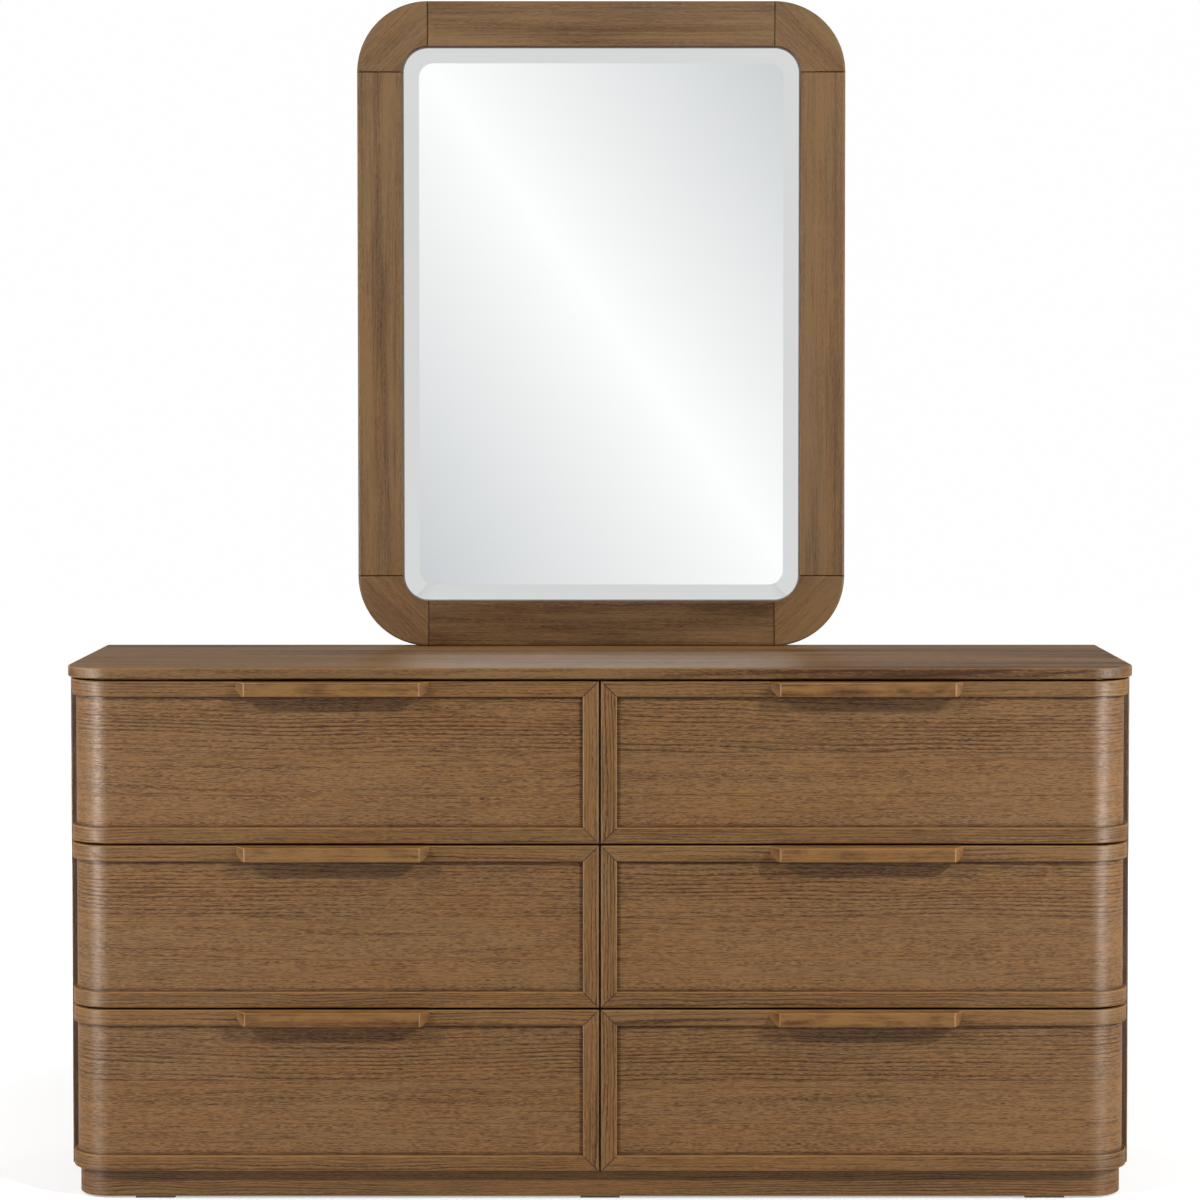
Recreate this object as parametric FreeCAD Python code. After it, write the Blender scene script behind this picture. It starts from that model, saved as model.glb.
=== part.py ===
import FreeCAD
import Part

import math
import os

# A dresser of six drawers in two columns, with a framed bevelled mirror standing on its top.
# Millimetres, +Z up, +X to the right and -Y towards the front.
# The origin is on the floor, under the middle of the whole object.

Vector = FreeCAD.Vector

# Top panel
top_width = 1626.0
top_depth = 457.0
top_thickness = 17.0
top_corner_radius = 70.0
top_edge_round = 2.5

# Case
side_overhang = 0.2
side_thickness = 18.0
partition_thickness = 18.0
bottom_thickness = 18.0
rail_thickness = 18.0
rail_depth = 90.0
back_thickness = 6.0
back_rabbet = 9.0
back_rail_height = 90.0
back_rail_thickness = 18.0

# Plinth and floor pads
plinth_height = 41.0
plinth_front_inset = 24.0
plinth_side_inset = 15.0
plinth_back_inset = 6.0
plinth_corner_radius = 50.0
plinth_return = 20.0
plinth_thickness = 18.0
pad_height = 3.0
pad_length = 60.0
pad_margin = 2.0
pad_corner_distance = 40.0

# Drawer fronts
front_height = 246.5
front_inset = 6.0
front_thickness = 18.0
front_return = 12.0
row_gap = 3.5
column_gap = 3.5
top_gap = 3.5
bottom_reveal = 4.0
return_gap = 4.0
front_clearance = 3.0
border_width = 24.0
border_relief = 6.0
border_chamfer = 1.5

# Handles
handle_length = 292.0
handle_end_slant = 13.5
handle_height = 21.5
handle_projection = 24.0
handle_drop = 0.5
handle_chamfer = 1.5
handle_grip_depth = 16.0
handle_grip_height = 9.0

# Drawer boxes
box_rise = 22.0
box_top_clearance = 34.5
box_rear_clearance = 31.0
box_corner_clearance = 2.0
box_side_thickness = 12.0
box_end_thickness = 12.0
box_bottom_thickness = 5.0
box_bottom_rise = 10.0
box_groove_depth = 6.0
box_back_setback = 10.0
dovetail_count = 5
dovetail_narrow_share = 0.14
dovetail_wide_share = 0.19

# Telescopic slides and the battens that carry the outer ones
slide_width = 12.7
slide_height = 45.0
slide_steel = 1.2
slide_running_gap = 0.4
slide_rise = 60.0
slide_front_setback = 4.0
slide_rear_clearance = 11.0
batten_margin = 7.5

# Mirror
mirror_width = 795.0
mirror_height = 1051.0
mirror_member_width = 74.3
mirror_frame_thickness = 28.0
mirror_corner_radius = 115.0
mirror_outer_chamfer = 2.5
mirror_inner_chamfer = 2.0
mirror_joint_groove = 0.9
mirror_lip_width = 7.0
mirror_lip_thickness = 11.0
mirror_rabbet_clearance = 1.0
glass_thickness = 5.0
glass_edge_thickness = 3.7
glass_visible_bevel = 25.9
glass_field_corner_radius = 24.0
glass_clearance = 0.2
backing_thickness = 6.0
bead_width = 10.0

# Mirror supports and their screws
support_width = 60.0
support_thickness = 20.0
support_drop = 250.0
support_corner_margin = 12.0
support_top_margin = 15.0
support_chamfer = 2.0
screw_radius = 2.2
screw_hole_clearance = 0.05
screw_head_radius = 4.5
screw_head_height = 3.0
screw_frame_bite = 18.0
screw_rail_bite = 12.0

# How far cutting shapes run past what they cut, and the match when edges are picked
overrun = 5.0
tolerance = 0.001

# Places along the depth
handle_reach = handle_projection - front_inset
whole_depth = handle_reach + top_depth + support_thickness + screw_head_height
front_edge = handle_reach - whole_depth / 2
back_edge = front_edge + top_depth
corner_y = front_edge + top_corner_radius
panel_inset = front_inset + border_relief
box_front = front_edge + panel_inset + front_thickness
shelf_inset = panel_inset + front_thickness + front_clearance
shelf_front = front_edge + shelf_inset
return_end = corner_y + front_return
side_front = return_end + return_gap
back_panel_front = back_edge - back_thickness
box_back = back_panel_front - box_rear_clearance
slide_front = side_front + slide_front_setback
slide_back = back_panel_front - slide_rear_clearance

# Places across the width
half_top = top_width / 2
half_partition = partition_thickness / 2
half_column_gap = column_gap / 2
side_outer = half_top - side_overhang
side_inner = side_outer - side_thickness
column_middle = (half_column_gap + half_top - front_inset) / 2
box_inner_side = half_partition + slide_width
box_outer_side = half_top - top_corner_radius - box_corner_clearance
batten_face = box_outer_side + slide_width

# Heights
row_names = ["top", "middle", "bottom"]
row_count = len(row_names)
row_pitch = front_height + row_gap
first_row = plinth_height + bottom_reveal
case_top = first_row + row_count * row_pitch - row_gap + top_gap
top_surface = case_top + top_thickness
bottom_surface = plinth_height + bottom_thickness
box_height = front_height - box_rise - box_top_clearance

# The lower edge of each row's fronts, from the top row down
row_heights = [first_row + row_pitch * (row_count - 1 - index) for index in range(row_count)]

# Mirror places
mirror_front = back_edge - mirror_frame_thickness
mirror_middle = top_surface + mirror_height / 2
half_mirror_width = mirror_width / 2
half_mirror_height = mirror_height / 2
half_opening_width = half_mirror_width - mirror_member_width
half_opening_height = half_mirror_height - mirror_member_width
opening_radius = mirror_corner_radius - mirror_member_width
lip_back = mirror_front + mirror_lip_thickness
glass_overlap = mirror_lip_width - mirror_rabbet_clearance
bevel_rise = glass_thickness - glass_edge_thickness
glass_at_lip = glass_edge_thickness + bevel_rise * glass_overlap / (glass_overlap + glass_visible_bevel)
glass_back = lip_back + glass_at_lip + glass_clearance
backing_back = glass_back + backing_thickness
support_middle = half_mirror_width - mirror_corner_radius - support_corner_margin - support_width / 2


def segment(start, end):
    return Part.LineSegment(start, end).toShape()


def block(x0, x1, y0, y1, z0, z1):
    return Part.makeBox(x1 - x0, y1 - y0, z1 - z0, Vector(x0, y0, z0))


def prism(points, along):
    """The solid swept by a closed polygon along a vector."""
    return Part.Face(Part.makePolygon(points + points[:1])).extrude(along)


def mirrored(shape):
    return shape.mirror(Vector(), Vector(1, 0, 0))


def pair(shape):
    """A right-hand piece and its left-hand twin."""
    return [mirrored(shape), shape]


def whole(right_half):
    """One solid from its right half, which ends at the middle plane."""
    return right_half.fuse(mirrored(right_half)).removeSplitter()


def lies_at_height(edge, z):
    return abs(edge.BoundBox.ZMin - z) < tolerance and abs(edge.BoundBox.ZMax - z) < tolerance


def lies_at_depth(edge, y):
    return abs(edge.BoundBox.YMin - y) < tolerance and abs(edge.BoundBox.YMax - y) < tolerance


def lies_on_wrap(edge, front, side, radius):
    """Whether an edge lies on the outer face of a board wrapped round a front corner."""
    middle = edge.valueAt((edge.FirstParameter + edge.LastParameter) / 2)
    across = max(abs(middle.x) - (side - radius), 0)
    along = max(front + radius - middle.y, 0)
    return abs(math.hypot(across, along) - radius) < tolerance


def corner_line(front, side, radius, x_start, y_end, z):
    """Edges along the front from x_start, round the right-hand corner and back along the side to y_end."""
    centre_x = side - radius
    centre_y = front + radius
    diagonal = radius * math.cos(math.pi / 4)
    start = Vector(x_start, front, z)
    arc_start = Vector(centre_x, front, z)
    arc_middle = Vector(centre_x + diagonal, centre_y - diagonal, z)
    arc_end = Vector(side, centre_y, z)
    end = Vector(side, y_end, z)
    arc = Part.Arc(arc_start, arc_middle, arc_end).toShape()
    return [segment(start, arc_start), arc, segment(arc_end, end)]


def outline_solid(edges, z0, z1):
    """A plate whose plan outline is the given edges, closed by straight lines."""
    wire = Part.Wire(Part.__sortEdges__(edges))
    return Part.Face(wire).extrude(Vector(0, 0, z1 - z0))


def wrapped_board(front, side, radius, thickness, x_start, y_end, z0, z1):
    """A board of even thickness bent round the right-hand front corner."""
    outer = corner_line(front, side, radius, x_start, y_end, z0)
    inner = corner_line(front + thickness, side - thickness, radius - thickness, x_start, y_end, z0)
    start = segment(Vector(x_start, front, z0), Vector(x_start, front + thickness, z0))
    end = segment(Vector(side, y_end, z0), Vector(side - thickness, y_end, z0))
    return outline_solid(outer + inner + [start, end], z0, z1)


def inset_outline(inset):
    """Front, side and corner radius of the line at one distance inside the top's outline."""
    return front_edge + inset, half_top - inset, top_corner_radius - inset


def front_board(inset, thickness, z0, z1):
    """A wrapped board of the right-hand column, at one distance inside the top's outline."""
    return wrapped_board(*inset_outline(inset), thickness, half_column_gap, return_end, z0, z1)


def shelf(x_start, y_back, z0, z1):
    """A plate that runs inside the wrapped fronts and widens to the side panel behind them."""
    edges = corner_line(*inset_outline(shelf_inset), x_start, side_front, z0)
    points = [
        Vector(half_top - shelf_inset, side_front, z0),
        Vector(side_inner, side_front, z0),
        Vector(side_inner, y_back, z0),
        Vector(x_start, y_back, z0),
        Vector(x_start, shelf_front, z0),
    ]
    edges += [segment(start, end) for start, end in zip(points, points[1:])]
    return outline_solid(edges, z0, z1)


def y_cylinder(x, z, y0, y1, radius):
    return Part.makeCylinder(radius, y1 - y0, Vector(x, y0, z), Vector(0, 1, 0))


def make_top_panel():
    edges = corner_line(*inset_outline(0), 0, back_edge, case_top)
    back_corner = Vector(half_top, back_edge, case_top)
    back_middle = Vector(0, back_edge, case_top)
    front_middle = Vector(0, front_edge, case_top)
    edges += [segment(back_corner, back_middle), segment(back_middle, front_middle)]
    panel = whole(outline_solid(edges, case_top, top_surface))
    eased = [
        edge
        for edge in panel.Edges
        if (lies_at_height(edge, case_top) or lies_at_height(edge, top_surface))
        and not lies_at_depth(edge, back_edge)
    ]
    return panel.makeFillet(top_edge_round, eased)


def make_side_panel():
    panel = block(side_inner, side_outer, side_front, back_edge, plinth_height, case_top)
    rabbet = block(
        side_inner - overrun,
        side_inner + back_rabbet,
        back_panel_front,
        back_edge + overrun,
        plinth_height - overrun,
        case_top + overrun,
    )
    return panel.cut(rabbet)


def make_back_panel(screw_holes):
    half_width = side_inner + back_rabbet
    panel = block(-half_width, half_width, back_panel_front, back_edge, plinth_height, case_top)
    return panel.cut(screw_holes)


def make_drawer_rails():
    """A rail between each two rows and one under the top, in each column."""
    middles = [height - row_gap / 2 for height in row_heights[:-1]]
    lower_faces = [case_top - rail_thickness] + [middle - rail_thickness / 2 for middle in middles]
    rails = []
    for lower_face in lower_faces:
        rail = shelf(half_partition, shelf_front + rail_depth, lower_face, lower_face + rail_thickness)
        rails += pair(rail)
    return rails


def make_back_rails(screw_holes):
    rail = block(
        half_partition,
        side_inner,
        back_panel_front - back_rail_thickness,
        back_panel_front,
        case_top - back_rail_height,
        case_top,
    )
    return [rail.cut(screw_holes) for rail in pair(rail)]


# Plinth places, shared by its boards and the pads under them
plinth_front = front_edge + plinth_front_inset
plinth_back = back_edge - plinth_back_inset
plinth_side = half_top - plinth_side_inset
plinth_joint = plinth_front + plinth_corner_radius + plinth_return
plinth_front_inner = plinth_front + plinth_thickness
plinth_back_inner = plinth_back - plinth_thickness
plinth_side_inner = plinth_side - plinth_thickness


def make_floor_pads():
    """Flat pads under the middle and near the corners of the plinth's front and back boards."""
    half_length = pad_length / 2
    outer = plinth_side - plinth_corner_radius - pad_corner_distance - half_length
    pads = []
    for board_front in (plinth_front, plinth_back_inner):
        y0 = board_front + pad_margin
        y1 = board_front + plinth_thickness - pad_margin
        pads += [block(x - half_length, x + half_length, y0, y1, 0, pad_height) for x in (-outer, 0, outer)]
    return pads


def make_plinth_front():
    outline = (plinth_front, plinth_side, plinth_corner_radius)
    return whole(wrapped_board(*outline, plinth_thickness, 0, plinth_joint, pad_height, plinth_height))


def make_plinth_sides():
    return pair(block(plinth_side_inner, plinth_side, plinth_joint, plinth_back, pad_height, plinth_height))


def make_plinth_back():
    return block(
        -plinth_side_inner, plinth_side_inner, plinth_back_inner, plinth_back, pad_height, plinth_height
    )


def make_plinth_bearer():
    return block(
        -half_partition, half_partition, plinth_front_inner, plinth_back_inner, pad_height, plinth_height
    )


def mitre_cut(z_corner, upward, inside):
    """A three-cornered cutter along the mitre at one inner corner of a border.

    The mitre runs from the border's outer corner at z_corner, upward or downward as the frame turns.
    """
    reach = border_width + overrun
    low = Vector(half_column_gap - overrun, front_edge, z_corner - upward * overrun)
    high = Vector(half_column_gap + reach, front_edge, z_corner + upward * reach)
    third = Vector(low.x, front_edge, high.z) if inside else Vector(high.x, front_edge, low.z)
    return prism([low, high, third], Vector(0, panel_inset + overrun, 0))


def make_border(z0):
    """Top rail, bottom rail and inner stile, raised from the front panel and mitred at the inner corners."""
    z1 = z0 + front_height
    pieces = []
    for low, corner, upward in ((z1 - border_width, z1, -1), (z0, z0, 1)):
        high = low + border_width
        rail = front_board(front_inset, border_relief, low, high)
        eased = [
            edge
            for edge in rail.Edges
            if (lies_at_height(edge, low) or lies_at_height(edge, high))
            and lies_on_wrap(edge, *inset_outline(front_inset))
        ]
        rail = rail.makeChamfer(border_chamfer, eased)
        pieces.append(rail.cut(mitre_cut(corner, upward, True)))
    face = front_edge + front_inset
    stile = block(half_column_gap, half_column_gap + border_width, face, face + border_relief, z0, z1)
    long_edges = [
        edge for edge in stile.Edges if lies_at_depth(edge, face) and edge.BoundBox.ZLength > border_width
    ]
    stile = stile.makeChamfer(border_chamfer, long_edges)
    pieces.append(stile.cut(mitre_cut(z1, -1, False)).cut(mitre_cut(z0, 1, False)))
    return pieces


def make_handle(z0):
    """A bar with a trapezoid plan on the border's top rail, bevelled underneath for the fingers."""
    top = z0 + front_height - handle_drop
    bottom = top - handle_height
    back = front_edge + front_inset
    front = back - handle_projection
    half_back = handle_length / 2
    half_front = half_back - handle_end_slant
    points = [
        Vector(column_middle - half_back, back, bottom),
        Vector(column_middle - half_front, front, bottom),
        Vector(column_middle + half_front, front, bottom),
        Vector(column_middle + half_back, back, bottom),
    ]
    bar = prism(points, Vector(0, 0, top - bottom))
    eased = [edge for edge in bar.Edges if not lies_at_depth(edge, back)]
    bar = bar.makeChamfer(handle_chamfer, eased)
    steepness = handle_grip_height / handle_grip_depth
    end = column_middle - half_back - overrun
    grip = [
        Vector(end, back - handle_grip_depth - overrun, bottom - overrun * steepness),
        Vector(end, back + overrun, bottom - overrun * steepness),
        Vector(end, back + overrun, bottom + handle_grip_height + overrun * steepness),
    ]
    return bar.cut(prism(grip, Vector(handle_length + 2 * overrun, 0, 0)))


def dovetail_pins(x0, x1, z0):
    """The pins that the box's front has in one side board: narrow at the box's end, wide inside."""
    box_front_inner = box_front + box_end_thickness
    pitch = box_height / dovetail_count
    narrow = pitch * dovetail_narrow_share
    wide = pitch * dovetail_wide_share
    bars = []
    for index in range(dovetail_count + 1):
        z = z0 + pitch * index
        points = [
            Vector(x0, box_front, z - narrow),
            Vector(x0, box_front, z + narrow),
            Vector(x0, box_front_inner, z + wide),
            Vector(x0, box_front_inner, z - wide),
        ]
        bars.append(prism(points, Vector(x1 - x0, 0, 0)))
    side_end = block(x0, x1, box_front, box_front_inner, z0, z0 + box_height)
    return side_end.common(Part.makeCompound(bars))


def make_box(z0):
    """Two sides dovetailed into a front, with the back and the bottom let into grooves."""
    z = z0 + box_rise
    z1 = z + box_height
    inner_x0 = box_inner_side + box_side_thickness
    inner_x1 = box_outer_side - box_side_thickness
    groove_x0 = inner_x0 - box_groove_depth
    groove_x1 = inner_x1 + box_groove_depth
    front_inner = box_front + box_end_thickness
    back_outer = box_back - box_back_setback
    back_inner = back_outer - box_end_thickness
    bottom_z = z + box_bottom_rise
    bottom_top = bottom_z + box_bottom_thickness
    bottom = block(groove_x0, groove_x1, front_inner - box_groove_depth, back_outer, bottom_z, bottom_top)
    back = block(groove_x0, groove_x1, back_inner, back_outer, bottom_top, z1)
    front = block(inner_x0, inner_x1, box_front, front_inner, z, z1)
    sides = []
    for x0, x1 in ((box_inner_side, inner_x0), (inner_x1, box_outer_side)):
        pins = dovetail_pins(x0, x1, z)
        sides.append(block(x0, x1, box_front, box_back, z, z1).cut(pins).cut(back).cut(bottom))
        front = front.fuse(pins)
    return sides + [front.removeSplitter().cut(bottom), back, bottom]


def channel(face_x, direction, web, tip, half_height, z):
    """A steel channel along a slide, its web and its flange tips at given distances from the mount."""
    inside = web + math.copysign(slide_steel, tip - web)
    inner_height = half_height - slide_steel
    section = [
        (web, -half_height),
        (tip, -half_height),
        (tip, -inner_height),
        (inside, -inner_height),
        (inside, inner_height),
        (tip, inner_height),
        (tip, half_height),
        (web, half_height),
    ]
    points = [Vector(face_x + direction * across, slide_front, z + up) for across, up in section]
    return prism(points, Vector(0, slide_back - slide_front, 0))


def make_slides(z0):
    """The cabinet, intermediate and drawer members of the two slides of one right-hand drawer."""
    z = z0 + box_rise + slide_rise
    step = slide_steel + slide_running_gap
    half_height = slide_height / 2
    members = {"cabinet": [], "intermediate": [], "drawer": []}
    for face_x, direction in ((half_partition, 1), (batten_face, -1)):
        cabinet = channel(face_x, direction, 0, slide_width - 2 * slide_steel, half_height, z)
        intermediate = channel(face_x, direction, step, slide_width - step, half_height - step, z)
        drawer = channel(face_x, direction, slide_width, 2 * step, half_height - 2 * step, z)
        members["cabinet"].append(cabinet)
        members["intermediate"].append(intermediate)
        members["drawer"].append(drawer)
    return members


def make_batten(z0):
    """The spacer between the side panel and the outer slide of one right-hand drawer."""
    middle = z0 + box_rise + slide_rise
    half_height = slide_height / 2 + batten_margin
    return block(batten_face, side_inner, side_front, slide_back, middle - half_height, middle + half_height)


def frame_section():
    """The section of a mirror frame member: width along X from the opening outwards, depth along Y."""
    width = mirror_member_width
    points = [
        Vector(0, mirror_inner_chamfer, 0),
        Vector(mirror_inner_chamfer, 0, 0),
        Vector(width - mirror_outer_chamfer, 0, 0),
        Vector(width, mirror_outer_chamfer, 0),
        Vector(width, mirror_frame_thickness, 0),
        Vector(mirror_lip_width, mirror_frame_thickness, 0),
        Vector(mirror_lip_width, mirror_lip_thickness, 0),
        Vector(0, mirror_lip_thickness, 0),
    ]
    return Part.Face(Part.makePolygon(points + points[:1]))


def joint_grooves():
    """Cutters for the fine V-grooves where the frame's members meet its corner blocks."""
    depth = mirror_joint_groove
    reach = mirror_member_width + 2 * overrun
    half_width = half_mirror_width - mirror_corner_radius
    half_height = half_mirror_height - mirror_corner_radius
    cutters = []
    for side in (-1, 1):
        for x_sign in (-1, 1):
            x = x_sign * half_width
            z = mirror_middle + side * (half_opening_height - overrun)
            points = [
                Vector(x - depth, mirror_front, z),
                Vector(x, mirror_front - depth, z),
                Vector(x + depth, mirror_front, z),
                Vector(x, mirror_front + depth, z),
            ]
            cutters.append(prism(points, Vector(0, 0, side * reach)))
        for z_sign in (-1, 1):
            x = side * (half_opening_width - overrun)
            z = mirror_middle + z_sign * half_height
            points = [
                Vector(x, mirror_front, z - depth),
                Vector(x, mirror_front - depth, z),
                Vector(x, mirror_front, z + depth),
                Vector(x, mirror_front + depth, z),
            ]
            cutters.append(prism(points, Vector(side * reach, 0, 0)))
    return Part.makeCompound(cutters)


def frame_member(length, turn, place):
    """A straight member: the section run along its length, turned about the depth axis and set in place."""
    member = frame_section().extrude(Vector(0, 0, length))
    member.translate(Vector(0, 0, -length / 2))
    member.rotate(Vector(), Vector(0, 1, 0), turn)
    member.translate(place)
    return member.cut(joint_grooves())


def corner_block(turn, place):
    """A quarter-round corner: the section turned about the corner's centre."""
    section = frame_section()
    section.translate(Vector(opening_radius, 0, 0))
    corner = section.revolve(Vector(), Vector(0, 1, 0), -90)
    corner.rotate(Vector(), Vector(0, 1, 0), turn)
    corner.translate(place)
    return corner.cut(joint_grooves())


def make_mirror_frame(screw_holes):
    """Rails, stiles and corner blocks of the frame, by node name."""
    rail_length = mirror_width - 2 * mirror_corner_radius
    stile_length = mirror_height - 2 * mirror_corner_radius
    centre_x = half_mirror_width - mirror_corner_radius
    centre_z = half_mirror_height - mirror_corner_radius
    right = frame_member(stile_length, 0, Vector(half_opening_width, mirror_front, mirror_middle))
    left = frame_member(stile_length, 180, Vector(-half_opening_width, mirror_front, mirror_middle))
    top_place = Vector(0, mirror_front, mirror_middle + half_opening_height)
    bottom_place = Vector(0, mirror_front, mirror_middle - half_opening_height)
    corners = []
    for index, (x_sign, z_sign) in enumerate(((1, 1), (-1, 1), (-1, -1), (1, -1))):
        place = Vector(x_sign * centre_x, mirror_front, mirror_middle + z_sign * centre_z)
        corners.append(corner_block(-90 * index, place))
    return {
        "mirror_top_rail": [frame_member(rail_length, -90, top_place)],
        "mirror_bottom_rail": [frame_member(rail_length, 90, bottom_place).cut(screw_holes)],
        "mirror_stiles": [left, right],
        "mirror_corner_blocks": corners,
    }


def rounded_outline(half_width, half_height, radius, y):
    """A rounded rectangle round the mirror's middle, as a wire in an upright plane."""
    diagonal = radius * math.cos(math.pi / 4)
    straight_x = half_width - radius
    straight_z = half_height - radius
    corners = [(1, 1), (-1, 1), (-1, -1), (1, -1)]
    arcs = []
    for x_sign, z_sign in corners:
        centre = Vector(x_sign * straight_x, y, mirror_middle + z_sign * straight_z)
        on_side = centre + Vector(x_sign * radius, 0, 0)
        on_end = centre + Vector(0, 0, z_sign * radius)
        between = centre + Vector(x_sign * diagonal, 0, z_sign * diagonal)
        start, end = (on_side, on_end) if x_sign == z_sign else (on_end, on_side)
        arcs.append((start, between, end))
    edges = []
    for index, (start, between, end) in enumerate(arcs):
        following = arcs[(index + 1) % len(arcs)]
        edges.append(Part.Arc(start, between, end).toShape())
        edges.append(segment(end, following[0]))
    return Part.Wire(edges)


def pane_outline(y):
    """The outline that the glass and its backing share inside the frame's rabbet."""
    return rounded_outline(
        half_opening_width + glass_overlap,
        half_opening_height + glass_overlap,
        opening_radius + glass_overlap,
        y,
    )


def make_glass():
    """A pane with a wide bevel that falls from the field to a thin edge."""
    edge_front = glass_back - glass_edge_thickness
    slab = Part.Face(pane_outline(edge_front)).extrude(Vector(0, glass_edge_thickness, 0))
    field = rounded_outline(
        half_opening_width - glass_visible_bevel,
        half_opening_height - glass_visible_bevel,
        glass_field_corner_radius,
        glass_back - glass_thickness,
    )
    bevel = Part.makeLoft([pane_outline(edge_front), field], True, True)
    return slab.fuse(bevel).removeSplitter()


def make_backing_board():
    return Part.Face(pane_outline(glass_back)).extrude(Vector(0, backing_thickness, 0))


def make_retaining_beads():
    """Square beads along the straight runs of the rabbet, behind the backing board."""
    half_rail = half_mirror_width - mirror_corner_radius
    half_stile = half_mirror_height - mirror_corner_radius
    outer_x = half_opening_width + mirror_lip_width
    outer_z = half_opening_height + mirror_lip_width
    stile_bead = block(
        outer_x - bead_width,
        outer_x,
        backing_back,
        back_edge,
        mirror_middle - half_stile,
        mirror_middle + half_stile,
    )
    beads = pair(stile_bead)
    for z0 in (mirror_middle - outer_z, mirror_middle + outer_z - bead_width):
        beads.append(block(-half_rail, half_rail, backing_back, back_edge, z0, z0 + bead_width))
    return beads


# Places of the supports and of the screws through them
support_back = back_edge + support_thickness
support_bottom = top_surface - support_drop
support_top = top_surface + mirror_height - support_top_margin
case_screw_height = case_top - back_rail_height / 2
frame_screw_height = top_surface + mirror_member_width / 2


def screw_places():
    """Each screw's x, z and the depth of its point: one into the case's back rail and one into the frame."""
    case_point = back_panel_front - screw_rail_bite
    frame_point = back_edge - screw_frame_bite
    heights = [(case_screw_height, case_point), (frame_screw_height, frame_point)]
    return [(side * support_middle, z, point) for side in (-1, 1) for z, point in heights]


def make_screws():
    screws = []
    for x, z, point in screw_places():
        shank = y_cylinder(x, z, point, support_back, screw_radius)
        head = y_cylinder(x, z, support_back, support_back + screw_head_height, screw_head_radius)
        screws.append(shank.fuse(head))
    return screws


def make_screw_holes():
    radius = screw_radius + screw_hole_clearance
    holes = [y_cylinder(x, z, point, support_back, radius) for x, z, point in screw_places()]
    return Part.makeCompound(holes)


def make_supports(screw_holes):
    half_width = support_width / 2
    batten = block(
        support_middle - half_width,
        support_middle + half_width,
        back_edge,
        support_back,
        support_bottom,
        support_top,
    )
    eased = [edge for edge in batten.Edges if lies_at_depth(edge, support_back)]
    batten = batten.makeChamfer(support_chamfer, eased)
    return [support.cut(screw_holes) for support in pair(batten)]


def make_case():
    """The nodes of the fixed body, by name."""
    screw_holes = make_screw_holes()
    side_panel = make_side_panel()
    bottom_half = shelf(0, back_panel_front, plinth_height, bottom_surface)
    partition = block(
        -half_partition, half_partition, shelf_front, back_panel_front, bottom_surface, case_top
    )
    battens = []
    cabinet_members = []
    for z0 in row_heights:
        battens += pair(make_batten(z0))
        for member in make_slides(z0)["cabinet"]:
            cabinet_members += pair(member)
    nodes = {
        "top_panel": [make_top_panel()],
        "left_side_panel": [mirrored(side_panel)],
        "right_side_panel": [side_panel],
        "back_panel": [make_back_panel(screw_holes)],
        "bottom_panel": [whole(bottom_half)],
        "centre_partition": [partition],
        "drawer_rails": make_drawer_rails(),
        "back_rails": make_back_rails(screw_holes),
        "plinth_front": [make_plinth_front()],
        "plinth_sides": make_plinth_sides(),
        "plinth_back": [make_plinth_back()],
        "plinth_centre_bearer": [make_plinth_bearer()],
        "floor_pads": make_floor_pads(),
        "slide_battens": battens,
        "slide_cabinet_members": cabinet_members,
        "mirror_glass": [make_glass()],
        "mirror_backing_board": [make_backing_board()],
        "mirror_retaining_beads": make_retaining_beads(),
        "mirror_supports": make_supports(screw_holes),
        "mirror_support_screws": make_screws(),
    }
    nodes.update(make_mirror_frame(screw_holes))
    return nodes


def make_drawer(z0):
    """The pieces of one right-hand drawer and its slides, by the last words of their node names."""
    slides = make_slides(z0)
    panel = front_board(panel_inset, front_thickness, z0, z0 + front_height)
    return {
        "drawer_front": [panel],
        "drawer_border": make_border(z0),
        "drawer_handle": [make_handle(z0)],
        "drawer_box": make_box(z0),
        "drawer_slide_members": slides["drawer"],
        "intermediate_slide_members": slides["intermediate"],
    }


def make_drawers():
    """Every drawer's nodes: one right-hand drawer, set at each row and mirrored to the left."""
    lowest = row_heights[-1]
    pattern = make_drawer(lowest)
    nodes = {}
    for row, height in zip(row_names, row_heights):
        lift = Vector(0, 0, height - lowest)
        for piece, solids in pattern.items():
            right = [solid.translated(lift) for solid in solids]
            nodes[f"{row}_right_{piece}"] = right
            nodes[f"{row}_left_{piece}"] = [mirrored(solid) for solid in right]
    return nodes


def main():
    os.makedirs("parts", exist_ok=True)
    nodes = make_case()
    nodes.update(make_drawers())
    for name, solids in nodes.items():
        shape = solids[0] if len(solids) == 1 else Part.makeCompound(solids)
        shape.exportStep(f"parts/{name}.step")


main()
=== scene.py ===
import itertools
import math

import bmesh
import bpy
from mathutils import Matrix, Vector


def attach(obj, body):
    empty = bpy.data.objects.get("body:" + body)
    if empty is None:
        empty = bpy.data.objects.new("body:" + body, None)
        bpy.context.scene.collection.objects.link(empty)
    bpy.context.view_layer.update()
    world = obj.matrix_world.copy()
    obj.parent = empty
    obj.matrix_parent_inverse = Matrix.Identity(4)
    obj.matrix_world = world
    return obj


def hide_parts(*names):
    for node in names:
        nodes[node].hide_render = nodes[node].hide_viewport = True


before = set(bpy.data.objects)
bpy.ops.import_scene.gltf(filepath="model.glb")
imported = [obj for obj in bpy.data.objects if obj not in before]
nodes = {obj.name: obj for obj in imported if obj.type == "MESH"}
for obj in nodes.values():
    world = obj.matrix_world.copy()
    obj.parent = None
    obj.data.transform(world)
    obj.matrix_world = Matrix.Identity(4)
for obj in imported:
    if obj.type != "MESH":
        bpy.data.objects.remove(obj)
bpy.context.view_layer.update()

scene = bpy.context.scene
scene.view_settings.view_transform = "Standard"

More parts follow.
